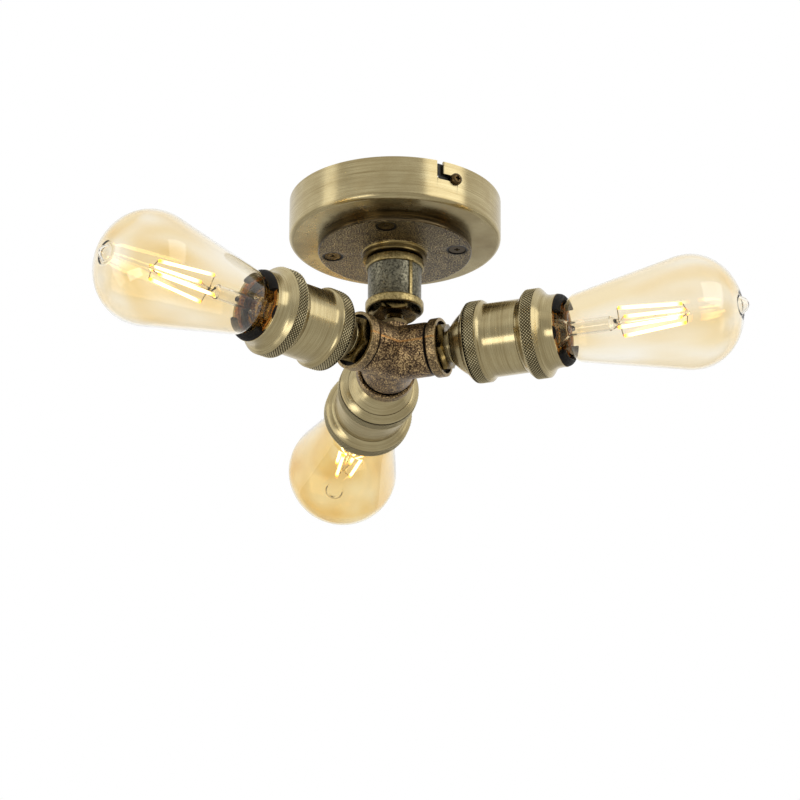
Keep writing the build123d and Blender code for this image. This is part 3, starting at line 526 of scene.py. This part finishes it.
finish(flange_screws[0], plated_steel("blackened_screw", "#4E4028", 0.24, 0.6), "light_frame",
       "zinc_plated_steel", "flange_screws")
refinish(plated_steel("threaded_pipe_steel", "#77746C", 0.4, 1.2), "close_nipple")


# ------------------------------------------------------------------ pipe coupling
# A banded half inch coupling, cast and bronzed, with the two ribs of its casting.
# The bands and ribs are rubbed back to a light khaki gold, and the body stays grey-brown.
def rubbed_bronze(name, proud, gold, dark, mottle, gloss=0.32):
    """Bronzed metal rubbed back: gold where it stands proud of the given radius round the
    stem, and dark below it, both mottled and a little grainy."""
    material, tree, output = new_material(name)
    place_node = axis_place(tree)
    height, radius = along_and_radius(tree, place_node, True)
    cloud = noise(tree, place_node, mottle, 5.0, 0.62)
    sand = noise(tree, place_node, 0.7, 3.0)
    light = ramp(tree, cloud, (0.36, gold[0]), (0.62, gold[1]))
    deep = ramp(tree, cloud, (0.36, dark[0]), (0.62, dark[1]))
    tone = mix_colour(tree, fade(tree, radius, (proud - 0.35) * mm, (proud + 0.15) * mm),
                      deep, light)
    surface(tree, output, {
        "Base Color": tone, "Metallic": 1.0, "Roughness": fade(tree, sand, 0.3, 0.7,
                                                               gloss - 0.06, gloss + 0.14),
        "Normal": relief(tree, sand, 0.35, 0.08)})
    return material


coupling_top, coupling_bottom, band_radius, band_height = -37.2, -67.5, 16.5, 5.0
coupling_radius, mouth_radius, mouth_depth, pipe_radius = 15.1, 14.9, 2.2, 10.5
band_round, rib_width, rib_azimuth, rib_relief = 0.9, 1.9, -55.0, 0.2


def band(start, end, outer, radius, steps=5):
    """Outline of a band with both corners rounded, from start to end."""
    way = math.copysign(1, end - start)
    first = (start, outer - radius)
    points = [first] + arc(first, (start + way * radius * 0.293, outer - radius * 0.293),
                           (start + way * radius, outer), steps)
    last = (end - way * radius, outer)
    return points + [last] + arc(last, (end - way * radius * 0.293, outer - radius * 0.293),
                                 (end, outer - radius), steps)


coupling_profile = [(coupling_top, pipe_radius)]
coupling_profile += band(coupling_top, coupling_top - band_height, band_radius, band_round)
coupling_profile += [(coupling_top - band_height, coupling_radius),
                     (coupling_bottom + band_height, coupling_radius)]
coupling_profile += band(coupling_bottom + band_height, coupling_bottom, band_radius, band_round)
coupling_profile += [(coupling_bottom, mouth_radius),
                     (coupling_bottom + mouth_depth, mouth_radius),
                     (coupling_bottom + mouth_depth, pipe_radius)]
coupling = turned("coupling", coupling_profile, 112, (0, 0, 1))
rib_length = coupling_top - coupling_bottom - 2 * band_height + 1.0
for side in (0.0, 180.0):
    rib = block(3.0, rib_width, rib_length)
    apply_modifier(rib, "BEVEL", width=0.3 * mm, segments=3)
    place(rib, polar(rib_azimuth + side, band_radius - rib_relief - 1.5,
                     (coupling_top + coupling_bottom) / 2))
    cut(coupling, rib, "UNION")
soften(coupling, 0.2)
finish(coupling, rubbed_bronze("rubbed_bronze_coupling", 15.9, ("#7A6942", "#B8A571"),
                               ("#3E3C33", "#8A8570"), 1.2), "light_frame",
       "patinated_casting", "pipe_coupling")


# -------------------------------------------------------------- hexagonal bushes
# Reducing bushes turned from hexagon brass bar: half inch thread outside, M10 inside.
# One is screwed up into the coupling, and one into each outlet of the tee.
hex_flats, hex_length, thread_radius, thread_length = 25.0, 5.8, 10.4, 11.5
bush_bore, bush_chamfer = 5.05, 0.7


def hex_bush(name):
    """A bush along X: seat at X = 0, hexagon in front of it and thread behind."""
    bpy.ops.object.select_all(action="DESELECT")
    corner = hex_flats / math.sqrt(3)
    bpy.ops.mesh.primitive_cylinder_add(vertices=6, radius=corner * mm, depth=hex_length * mm,
                                        rotation=(0, math.pi / 2, 0))
    bush = bpy.context.object
    bush.name = name
    place(bush, Matrix())
    place(bush, Matrix.Translation((hex_length / 2 * mm, 0, 0)))
    flat = 0.97 * hex_flats / 2
    slope = (corner - flat) * math.tan(math.radians(30))
    blank = turned("blank", [(0, 0), (0, flat), (slope, corner), (hex_length - slope, corner),
                             (hex_length, flat), (hex_length, 0)], 96, closed=False)
    cut(bush, blank, "INTERSECT")
    stub = turned("stub", [(-thread_length, 0), (-thread_length, thread_radius),
                           (0.5, thread_radius), (0.5, 0)], 64, closed=False)
    cut(bush, stub, "UNION")
    mouth = bush_bore + bush_chamfer
    bore = turned("bore", [(-thread_length - 1, 0), (-thread_length - 1, bush_bore),
                           (hex_length - 0.6, bush_bore), (hex_length + 0.1, mouth),
                           (hex_length + 1, mouth), (hex_length + 1, 0)], 64, closed=False)
    cut(bush, bore)
    bush.data.materials.clear()
    bush.data.materials.append(bush_bronze)
    # The bevels take a second material, pale gold: partly worn brass, partly a painted highlight.
    bush.data.materials.append(worn_and_highlight_edge)
    soften(bush, 0.45, 3, material=1)
    return bush


bush_bronze = rubbed_bronze("turned_bronzed_bush", 2.0, ("#41361F", "#7F6C42"),
                            ("#41361F", "#7F6C42"), 5.0, 0.22)
# Pale gold for the bevels: partly worn brass, partly a painted highlight.
worn_and_highlight_edge = rubbed_bronze("bronze_worn_and_painted_highlight_edge", 2.0, ("#C2AC70", "#EAD9A4"),
                          ("#C2AC70", "#EAD9A4"), 1.2, 0.30)
stem_bush = hex_bush("stem_bush")
place(stem_bush, Matrix.Rotation(math.radians(30), 4, "X"))
place(stem_bush, Matrix.Rotation(math.pi / 2, 4, "Y"))
place(stem_bush, Matrix.Translation((0, 0, (coupling_bottom + mouth_depth) * mm)))
finish(stem_bush, None, "light_frame", "turned_brass", "coupling_bush")
tube_end, tube_start, tube_radius, tube_bore, tube_pitch = -88.5, -62.1, 5.0, 3.6, 1.0
tube_profile = [(tube_end, tube_bore), (tube_end, tube_radius - 0.5)]
for index in range(26):
    start = tube_end + 0.2 + index * tube_pitch
    tube_profile += [(start + 0.5 * tube_pitch, tube_radius), (start + tube_pitch,
                                                               tube_radius - 0.5)]
tube_profile += [(tube_start, tube_radius - 0.5), (tube_start, tube_bore)]
stem_tube = turned("stem_tube.threaded", tube_profile, 48, (0, 0, 1))
smooth(stem_tube, 25)
finish(stem_tube, bush_bronze, "light_frame", "turned_brass", "stem_tube")
refinish(plated_steel("aged_nut_brass", "#5A4D34", 0.3, 0.8), "stem_nut")


# ----------------------------------------------------------------------- cast tee
# A three-way Y fitting, sand cast and bronzed, with a banded outlet on each arm.
# The parting line of its mould still shows round the middle, and its edges are worn.
arm_azimuths = {"right": -20.0, "back": 100.0, "left": 220.0}
bush_turns = {"right": 24.0, "back": 10.0, "left": 34.0}
arm_bush_seat = 27.4


def on_arm(arm):
    """The matrix that sets a piece drawn along X onto one of the arms."""
    return (Matrix.Translation((0, 0, arm_height * mm))
            @ Matrix.Rotation(math.radians(arm_azimuths[arm]), 4, "Z"))


def copy_of(piece, name, matrix):
    """A copy of a piece with its own mesh, moved by the matrix."""
    twin = piece.copy()
    twin.data = piece.data.copy()
    twin.name = name
    bpy.context.scene.collection.objects.link(twin)
    twin.data.transform(matrix)
    return twin


def tee_marks(tree, place_node, tone, rough, grain):
    """The orange-gold parting line, the lighter collars with worn mouths, and painted shade in the
    bores.
    """
    centred = add(tree, "ShaderNodeVectorMath", {0: place_node, 1: [0, 0, -arm_height * mm]},
                  operation="ADD").outputs["Vector"]
    reach = []
    for azimuth in arm_azimuths.values():
        way = [math.cos(math.radians(azimuth)), math.sin(math.radians(azimuth)), 0]
        reach.append(add(tree, "ShaderNodeVectorMath", {0: centred, 1: way},
                         operation="DOT_PRODUCT").outputs["Value"])
    along = math_node(tree, "MAXIMUM", math_node(tree, "MAXIMUM", *reach[:2]), reach[2])
    whole = add(tree, "ShaderNodeVectorMath", {0: centred}, operation="LENGTH").outputs["Value"]
    radius = math_node(tree, "SQRT", math_node(
        tree, "SUBTRACT", math_node(tree, "POWER", whole, 2.0),
        math_node(tree, "POWER", along, 2.0)))
    speckle = noise(tree, place_node, 0.55, 3.0, 0.7)
    height = add(tree, "ShaderNodeSeparateXYZ", {"Vector": centred}).outputs["Z"]
    seam = fade(tree, math_node(tree, "ABSOLUTE", height), 0.75 * mm, 0.40 * mm)
    seam = math_node(tree, "MULTIPLY", seam, fade(tree, speckle, 0.40, 0.55))
    mouth = fade(tree, along, 28.9 * mm, 29.4 * mm)
    step = math_node(tree, "MULTIPLY", fade(tree, radius, 15.9 * mm, 16.6 * mm),
                     fade(tree, along, 23.3 * mm, 24.2 * mm))
    worn = math_node(tree, "MULTIPLY", math_node(tree, "MAXIMUM", mouth, math_node(
        tree, "MULTIPLY", step, 0.3)), fade(tree, speckle, 0.38, 0.58))
    # Painted shade: the outlet bores are darkened to near black.
    bore = math_node(tree, "MULTIPLY", fade(tree, radius, 15.0 * mm, 14.8 * mm),
                     fade(tree, along, 20.0 * mm, 22.0 * mm))
    tone = mix_colour(tree, worn, tone, linear("#B7A173"))
    tone = mix_colour(tree, seam, tone, linear("#C08A4A"))
    tone = mix_colour(tree, bore, tone, linear("#0E0B08"))
    return tone, rough, grain


tee_bronze = bronzed_casting("bronzed_sand_casting", ("#17110B", "#544230", "#8E7452", "#DDBE86"),
                             0.8, 1.0, 0.36, tee_marks, 0.72)
refinish(tee_bronze, "pipe_tee")
for arm in arm_azimuths:
    bush = hex_bush(f"bush_{arm}")
    place(bush, Matrix.Rotation(math.radians(bush_turns[arm]), 4, "X"))
    place(bush, Matrix.Translation((arm_bush_seat * mm, 0, 0)))
    place(bush, on_arm(arm))
    finish(bush, None, "light_frame", "turned_brass", f"arm_bush_{arm}")
    refinish(bush_bronze, f"arm_tube_{arm}")


# -------------------------------------------------------------------- lampholders
# Each is a brass holder of four turned parts: cap with its beaded neck, bell-shouldered
# shell with a knurled band, and a knurled front ring over a black moulded insert.
def knurled(piece, start, end, around, rows, height):
    """Press a diamond knurl into a band: every second point of its grid goes down."""
    bpy.context.view_layer.objects.active = piece
    bpy.ops.object.mode_set(mode="EDIT")
    pitch = (end - start) / rows

    def low(vertex):
        s = vertex.co.x / mm
        if not start - 0.01 < s < end + 0.01:
            return False
        row = round((s - start) / pitch)
        column = round(math.atan2(vertex.co.z, vertex.co.y) / math.tau * around)
        outside = math.hypot(vertex.co.y, vertex.co.z) / mm > knurl_floor
        return outside and (row + column) % 2 == 1

    pick(piece, "VERT", low)
    bpy.ops.transform.shrink_fatten(value=-height * mm)
    pick(piece, "FACE", lambda face: all(
        start - 0.01 < v.co.x / mm < end + 0.01
        and math.hypot(v.co.y, v.co.z) / mm > knurl_floor for v in face.verts))
    bpy.ops.mesh.quads_convert_to_tris(quad_method="SHORTEST_DIAGONAL")
    bpy.ops.object.mode_set(mode="OBJECT")


cap_profile = [(33.2, 5.05), (33.2, 8.9), (34.2, 8.9)]
cap_profile += band(34.2, 35.3, 10.1, 0.5, 4) + [(35.3, 9.5), (36.1, 9.5), (36.1, 11.4)]
cap_profile += arc((36.1, 11.4), (40.4, 15.75), (44.1, 18.5), 16)
cap_profile += [(44.1, 18.3), (50.1, 18.3), (50.1, 17.2), (44.1, 17.2), (41.8, 14.45),
                (41.5, 11.4), (41.5, 5.05)]
shell_steps, ring_steps = 156, 170
knurl_floor = 22.0
shell_rows, ring_rows = 8, 7
shell_start, shell_end, ring_start, ring_end = 47.4, 54.7, 82.2, 88.8
shell_profile = [(44.2, 18.35), (44.2, 18.8)]
shell_profile += arc((44.2, 18.8), (45.7, 21.1), (47.3, 22.75), 12)
shell_profile += [(shell_start + (shell_end - shell_start) * i / shell_rows,
                   23.2 - 0.4 * max(0.0, 1 - i / 2) ** 2) for i in range(shell_rows + 1)]
shell_profile += [(54.9, 23.1), (54.95, 22.95)]
shell_profile += arc((54.95, 22.95), (55.7, 22.6), (56.3, 21.9), 5)
shell_profile += arc((56.3, 21.9), (57.3, 21.15), (59.4, 20.8), 8)
shell_profile += [(77.3, 20.8), (77.4, 20.7), (77.4, 20.1), (87.4, 20.1), (87.4, 19.3),
                  (50.6, 19.3), (50.6, 18.35)]
ring_profile = [(77.7, 20.15), (77.7, 20.85)]
ring_profile += arc((77.7, 20.85), (78.8, 21.5), (79.9, 22.9), 6)
ring_profile += arc((79.9, 22.9), (80.9, 24.1), (82.1, 25.1), 6)
ring_profile += [(ring_start + (ring_end - ring_start) * i / ring_rows, 25.3)
                 for i in range(ring_rows + 1)]
ring_profile += [(88.95, 25.15)]
ring_profile += arc((88.95, 25.15), (89.9, 24.1), (90.9, 22.7), 7)
ring_profile += arc((90.9, 22.7), (92.6, 21.3), (95.6, 20.55), 8)
ring_profile += [(98.0, 20.4), (98.9, 20.6), (99.3, 20.6), (99.4, 20.45), (99.4, 18.9),
                 (87.9, 18.9), (87.9, 20.15)]
ring_template = turned("ring_template", ring_profile, ring_steps)
knurled(ring_template, ring_start, ring_end, ring_steps, ring_rows, 0.45)
smooth(ring_template, 24)
shell_template = turned("shell_template", shell_profile, shell_steps)
knurled(shell_template, shell_start, shell_end, shell_steps, shell_rows, 0.42)
smooth(shell_template, 24)
cap_template = turned("cap_template", cap_profile, 128)
smooth(cap_template, 28)
for arm, azimuth in arm_azimuths.items():
    holder_brass = brushed_antique_brass(f"brushed_antique_brass_{arm}", azimuth, (
        (shell_start, shell_end, 23.2), (ring_start, ring_end, 25.3)))
    for template, name in ((cap_template, "holder_cap"), (shell_template, "holder_shell"),
                           (ring_template, "front_ring")):
        twin = copy_of(template, f"{name}.{arm}", on_arm(arm))
        finish(twin, holder_brass, "light_frame", "antique_brass", f"{name}_{arm}")
for template in (cap_template, shell_template, ring_template):
    bpy.data.objects.remove(template)


# ------------------------------------------------- insert, screw shell and contact
# The insert is moulded in black phenolic, with two front tabs that stand out past the
# ring's lip. The drawn brass screw shell and the centre contact are fixed in it.
def black_phenolic(name, azimuth=None, mouth=0.0):
    """Moulded phenolic: near black, matt, with the fine roughness of its filler, and coloured
    brown-orange on its faces behind the mouth, given in mm along the arm."""
    material, tree, output = new_material(name)
    place_node = axis_place(tree, azimuth)
    filler = noise(tree, place_node, 0.9, 5.0, 0.65)
    tone = ramp(tree, filler, (0.46, "#040303"), (0.70, "#2E2A22"))
    if mouth:
        along, radius = along_and_radius(tree, place_node, False)
        # Brown-orange on the faces just behind the mouth.
        mouth_brown = ramp(tree, filler, (0.40, "#3A1F0A"), (0.60, "#B87426"))
        behind = math_node(tree, "MULTIPLY", fade(tree, radius, 15.4 * mm, 16.2 * mm),
                           fade(tree, along, (mouth + 0.15) * mm, (mouth + 0.05) * mm))
        tone = mix_colour(tree, behind, tone, mouth_brown)
    surface(tree, output, {
        "Base Color": tone, "Roughness": fade(tree, filler, 0.4, 0.6, 0.45, 0.8), "IOR": 1.4,
        "Specular IOR Level": 0.2,
        "Normal": relief(tree, filler, 0.8, 0.2)})
    return material


drawn_brass = plated_steel("drawn_shell_brass", "#C29B57", 0.26, 2.0)
lip_end, tab_end, lip_outer, tab_tip, tab_bore = 99.4, 103.2, 20.4, 17.4, 16.5
insert_radius, insert_pocket, insert_floor, insert_back = 18.75, 13.8, 61.0, 58.0
insert_chamber = 10.5
insert_profile = [(insert_back, 0), (insert_back, insert_radius), (lip_end, insert_radius),
                  (lip_end, lip_outer)]
insert_profile += arc((lip_end, lip_outer), (lip_end + 2.75, tab_tip + 1.9), (tab_end, tab_tip), 8)
insert_profile += [(tab_end, tab_bore + 0.2), (tab_end - 0.2, tab_bore), (97.7, tab_bore),
                   (97.7, insert_pocket), (71.05, insert_pocket),
                   (71.05, insert_chamber), (insert_floor, insert_chamber), (insert_floor, 0)]
insert_template = turned("insert_template", insert_profile, 128, closed=False)
gap_half = math.radians(39)
for side in (1, -1):
    bpy.ops.mesh.primitive_cube_add(size=1, scale=(8 * mm, 40 * mm, 40 * mm))
    notch = bpy.context.object
    bpy.ops.object.mode_set(mode="EDIT")
    pick(notch, "VERT", lambda v: v.co.y * side < 0)
    bpy.ops.transform.resize(value=(1, 0, 0.0001), center_override=(0, 0, 0))
    pick(notch, "VERT", lambda v: v.co.y * side > 0)
    bpy.ops.transform.resize(value=(1, 1, math.tan(gap_half)), center_override=(0, 0, 0))
    bpy.ops.object.mode_set(mode="OBJECT")
    place(notch, Matrix())
    place(notch, Matrix.Translation(((lip_end + 4.0) * mm, 0, 0)))
    cut(insert_template, notch)
soften(insert_template, 0.25)
insert_turns = {"right": 27.0, "back": 0.0, "left": -30.0}
for arm, azimuth in arm_azimuths.items():
    twin = copy_of(insert_template, f"insert.{arm}", on_arm(arm)
                   @ Matrix.Rotation(math.radians(insert_turns[arm]), 4, "X"))
    phenolic = black_phenolic(f"moulded_black_phenolic_{arm}", azimuth, lip_end)
    finish(twin, phenolic, "light_frame", "black_bakelite", f"insulator_{arm}")
    refinish(drawn_brass, f"screw_shell_{arm}", f"centre_contact_{arm}")
bpy.data.objects.remove(insert_template)


# ----------------------------------------------------------------- lamp: the glass
# A pear-shaped filament lamp, 64 mm across: envelope blown in amber-tinted glass and
# sealed at its pip, a clear glass stem inside, and a rolled brass cap cemented on.
def tinted_glass(name, light, deep, azimuth=None):
    """Thin clear blown glass tinted amber, with soft streaks of deeper amber along the lamp that
    are a painted reflection of warm light, and sharp reflections of the studio."""
    material, tree, output = new_material(name)
    place_node = axis_place(tree, azimuth)
    # Painted reflection: deeper amber streaks along the lamp stand in for warm light reflected in
    # the glass.
    painted_reflection_streaks = noise(tree, place_node, (90.0, 22.0, 22.0), 1.0)
    tone = mix_colour(tree, fade(tree, painted_reflection_streaks, 0.36, 0.66), linear(light), linear(deep))
    glass = add(tree, "ShaderNodeBsdfPrincipled", {
        "Base Color": tone, "Roughness": 0.0, "IOR": 1.47, "Transmission Weight": 1.0})
    clear = add(tree, "ShaderNodeBsdfTransparent", {"Color": linear(light)})
    path = add(tree, "ShaderNodeLightPath")
    mix = add(tree, "ShaderNodeMixShader", {0: path.outputs["Is Shadow Ray"],
                                            1: glass.outputs["BSDF"], 2: clear.outputs["BSDF"]})
    tree.links.new(mix.outputs["Shader"], output.inputs["Surface"])
    return material


lamp_cap_rim, ball_radius, ball_centre, nose_length, lamp_tip = 95.0, 32.0, 174.0, 28.5, 206.5
glass_wall, neck_radius = 0.9, 12.4


def smooth_run(points, tangents, steps):
    """Points of a smooth curve through the given ones, with its end slopes, minus the first."""
    slopes = [tangents[0]]
    for before, after in zip(points, points[2:]):
        slopes.append(((after[0] - before[0]) / 2, (after[1] - before[1]) / 2))
    slopes.append(tangents[1])
    run = []
    for (p, q, m, n) in zip(points, points[1:], slopes, slopes[1:]):
        for i in range(1, steps + 1):
            t = i / steps
            weights = (2 * t ** 3 - 3 * t * t + 1, t ** 3 - 2 * t * t + t,
                       3 * t * t - 2 * t ** 3, t ** 3 - t * t)
            run.append(tuple(sum(w * c[k] for w, c in zip(weights, (p, m, q, n)))
                             for k in (0, 1)))
    return run


def glass_line(inset):
    """The envelope's surface from the neck to the dome's end, moved in by the inset."""
    end = (109.0, 19.3 - inset)
    ball = ball_radius - inset
    reach = math.hypot(ball_centre - end[0], end[1])
    heading = math.asin(ball / reach) - math.asin(end[1] / reach)
    line = [(lamp_cap_rim - 1.7, neck_radius - inset), (lamp_cap_rim + 1.0, neck_radius - inset)]
    line += smooth_run([line[-1], (103.2, 15.4 - inset), end],
                       [(6, 0), (6, 6 * math.tan(heading))], 8)
    run = math.sqrt(reach ** 2 - ball ** 2)
    touch = (end[0] + run * math.cos(heading), end[1] + run * math.sin(heading))
    line += [(end[0] + (touch[0] - end[0]) * i / 8, end[1] + (touch[1] - end[1]) * i / 8)
             for i in range(1, 9)]
    first = math.pi / 2 + heading
    line += [(ball_centre + ball * math.cos(first - heading * i / 4),
              ball * math.sin(first - heading * i / 4)) for i in range(1, 5)]
    return line, ball


outer_line, outer_ball = glass_line(0.0)
inner_line, inner_ball = glass_line(glass_wall)
dome = [(ball_centre + nose_length * math.sin(math.radians(a)),
         outer_ball * math.cos(math.radians(a))) for a in range(4, 78, 4)]
pip = smooth_run([dome[-1], (201.6, 5.9), (203.2, 4.5), (205.4, 2.9), (lamp_tip, 0.0)],
                 [(0.9, -2.4), (0.0, -2.2)], 5)
inner_dome = [(ball_centre + (nose_length - glass_wall) * math.sin(math.radians(a)),
               inner_ball * math.cos(math.radians(a))) for a in range(4, 78, 4)]
inner_dome += smooth_run([inner_dome[-1], (201.3, 4.6), (202.6, 3.5), (204.6, 2.0),
                          (lamp_tip - 1.1, 0.0)], [(0.9, -2.4), (0.0, -1.6)], 5)
inner_dome[-1] = (lamp_tip - 1.1, 0.0)
glass_profile = outer_line + dome + pip[:-1] + [(lamp_tip, 0.0)]
glass_template = turned("glass_template", glass_profile, 144, closed=False)
inner_template = turned("inner_template", inner_line + inner_dome, 144, closed=False)
bpy.context.view_layer.objects.active = inner_template
bpy.ops.object.mode_set(mode="EDIT")
bpy.ops.mesh.select_all(action="SELECT")
bpy.ops.mesh.flip_normals()
bpy.ops.object.mode_set(mode="OBJECT")
joined(glass_template, inner_template)
bpy.ops.object.mode_set(mode="EDIT")
pick(glass_template, "EDGE", lambda e: e.is_boundary)
bpy.ops.mesh.bridge_edge_loops()
bpy.ops.object.mode_set(mode="OBJECT")
smooth(glass_template, 40)
clear_glass = tinted_glass("drawn_clear_stem_glass", "#FDFBF7", "#FBF7EE")


# --------------------------------------------------- lamp: filaments and its cap
# Four straight light rods stand between the stem and a front hub, held by thin nickel
# wires. They burn a warm white, more orange at their ends.
def glowing_rod(name, azimuth):
    """A phosphor-coated light rod, lit: near white in the middle and orange at its ends."""
    material, tree, output = new_material(name)
    parts = add(tree, "ShaderNodeSeparateXYZ", {"Vector": axis_place(tree, azimuth)})
    along = fade(tree, parts.outputs["X"], rod_start * mm, rod_end * mm)
    tone = ramp(tree, along, (0.02, "#F08A1E"), (0.12, "#FFF0B8"), (0.88, "#FFF0B8"),
                (0.98, "#F08A1E"))
    surface(tree, output, {
        "Base Color": linear("#F6C766"), "Roughness": 0.5,
        "Emission Color": tone, "Emission Strength": 5.0})
    return material


rod_start, rod_end = 133.5, 169.5
cap_shoulder, cap_thread, cap_radius, cap_sheet, cap_pitch = 75.0, 91.5, 13.0, 0.3, 25.4 / 7
wave = [(cap_shoulder + i * cap_pitch / 8,
         cap_radius - 0.5 + 0.5 * math.cos(math.tau * i / 8 + math.pi))
        for i in range(int(8 * (cap_thread - cap_shoulder) / cap_pitch) + 1)]
sleeve = [(73.0, 10.6)] + wave + [(94.0, cap_radius - 0.5), (94.1, cap_radius + 0.3),
                                  (95.0, cap_radius + 0.35)]
inside = [(s, r - cap_sheet) for s, r in reversed(sleeve[:-2])]
cap_sleeve = turned("cap_sleeve", sleeve + [(95.0, cap_radius - 0.28)] + inside, 96)
eyelet = turned("eyelet", [(68.0, 0.0), (68.0, 3.0), (68.25, 3.55), (68.8, 4.1), (69.8, 4.8),
                           (69.8, 0.0)], 48, closed=False)
joined(cap_sleeve, eyelet)
smooth(cap_sleeve, 35)
nickel = plated_steel("drawn_nickel_wire", "#A8A090", 0.3, 1.0)
black_glass = black_phenolic("black_glass_ring")
# Each lamp's light amber tint, then the deeper amber of its painted reflection streaks.
glass_tints_and_streaks = {"right": ("#FEFBF3", "#F9E9C4"), "back": ("#FBF0D0", "#F0D28A"),
         "left": ("#FEFBF3", "#F7E4B8")}
for arm, azimuth in arm_azimuths.items():
    twin = copy_of(glass_template, f"glass.{arm}", on_arm(arm))
    amber = tinted_glass(f"blown_amber_glass_{arm}", *glass_tints_and_streaks[arm], azimuth)
    finish(twin, amber, f"lamp_{arm}", "amber_glass", f"glass_envelope_{arm}")
    refinish(clear_glass, f"glass_stem_{arm}")
    refinish(glowing_rod(f"lit_light_rod_{arm}", azimuth), f"filaments_{arm}")
    refinish(nickel, f"support_wires_{arm}")
    threaded = copy_of(cap_sleeve, f"lamp_cap.{arm}", on_arm(arm))
    finish(threaded, drawn_brass, f"lamp_{arm}", "shell_brass", f"lamp_cap_{arm}")
    refinish(black_glass, f"lamp_insulator_{arm}")
for template in (glass_template, cap_sleeve):
    bpy.data.objects.remove(template)


# ------------------------------------------------------------------------- studio
# A pale floor well below the light, a backdrop that is white behind it and pale grey in
# front, four soft lamps, and the camera: in front, below, and looking up with a long lens.
floor_height, floor_size = -3.7, 40.0
bpy.ops.mesh.primitive_plane_add(size=floor_size, location=(0, 0, floor_height))
floor = bpy.context.object
floor.name = "floor"
floor_paper, floor_tree, floor_output = new_material("white_studio_floor")
floor_shader = add(floor_tree, "ShaderNodeBsdfPrincipled", {"Base Color": linear("#E8E8E8"),
                                                            "Roughness": 0.8})
floor_tree.links.new(floor_shader.outputs["BSDF"], floor_output.inputs["Surface"])
floor.data.materials.append(floor_paper)

world = bpy.data.worlds.new("studio")
bpy.context.scene.world = world
world.use_nodes = True
world.node_tree.nodes.clear()
sky = world.node_tree
direction = add(sky, "ShaderNodeTexCoord")
split = add(sky, "ShaderNodeSeparateXYZ", {"Vector": direction.outputs["Generated"]})
tilt = math_node(sky, "ADD", math_node(sky, "MULTIPLY", split.outputs["Y"], 0.7),
                 math_node(sky, "MULTIPLY", split.outputs["Z"], 0.6))
room = fade(sky, tilt, -0.6, 0.5, 0.55, 1.0)
path = add(sky, "ShaderNodeLightPath")
seen = math_node(sky, "MAXIMUM", path.outputs["Is Camera Ray"], math_node(
    sky, "MAXIMUM", path.outputs["Is Glossy Ray"], path.outputs["Is Transmission Ray"]))
strength = mixed(sky, seen, math_node(sky, "MULTIPLY", room, 0.8), room)
background = add(sky, "ShaderNodeBackground", {"Color": linear("#FFFFFF"), "Strength": strength})
add(sky, "ShaderNodeOutputWorld", {"Surface": background.outputs["Background"]})


def softbox(name, place_at, width, height, power, aim=(0, 0, -0.08)):
    """A soft lamp of the given width and height that faces the light fitting."""
    bpy.ops.object.light_add(type="AREA", location=place_at)
    lamp = bpy.context.object
    lamp.name = name
    lamp.data.shape = "RECTANGLE"
    lamp.data.size = width
    lamp.data.size_y = height
    lamp.data.energy = power
    lamp.rotation_euler = (Vector(aim) - Vector(place_at)).to_track_quat("-Z", "Y").to_euler()
    return lamp


softbox("left_softbox", (-2.05, -0.62, -0.1), 0.65, 2.4, 5)
softbox("right_softbox", (1.7, -1.2, 0.6), 1.7, 1.5, 13)
softbox("front_softbox", (-1.75, -2.1, -1.4), 1.5, 0.9, 13)
softbox("high_softbox", (0.0, -2.5, 1.35), 5.0, 1.2, 3)

camera_place = Vector((0.0, -2.421235, -1.181623))
camera_aim = Vector((0.0034705, 0.0, -0.122045))
camera_roll = math.radians(0.3764)
bpy.ops.object.camera_add(location=camera_place)
camera = bpy.context.object
aim = (camera_aim - camera_place).to_track_quat("-Z", "Y").to_matrix().to_4x4()
camera.matrix_world = (Matrix.Translation(camera_place) @ aim
                       @ Matrix.Rotation(camera_roll, 4, "Z"))
camera.data.sensor_width = 36.0
camera.data.lens = 212.96
bpy.context.scene.camera = camera
bpy.context.scene.view_settings.view_transform = "Standard"
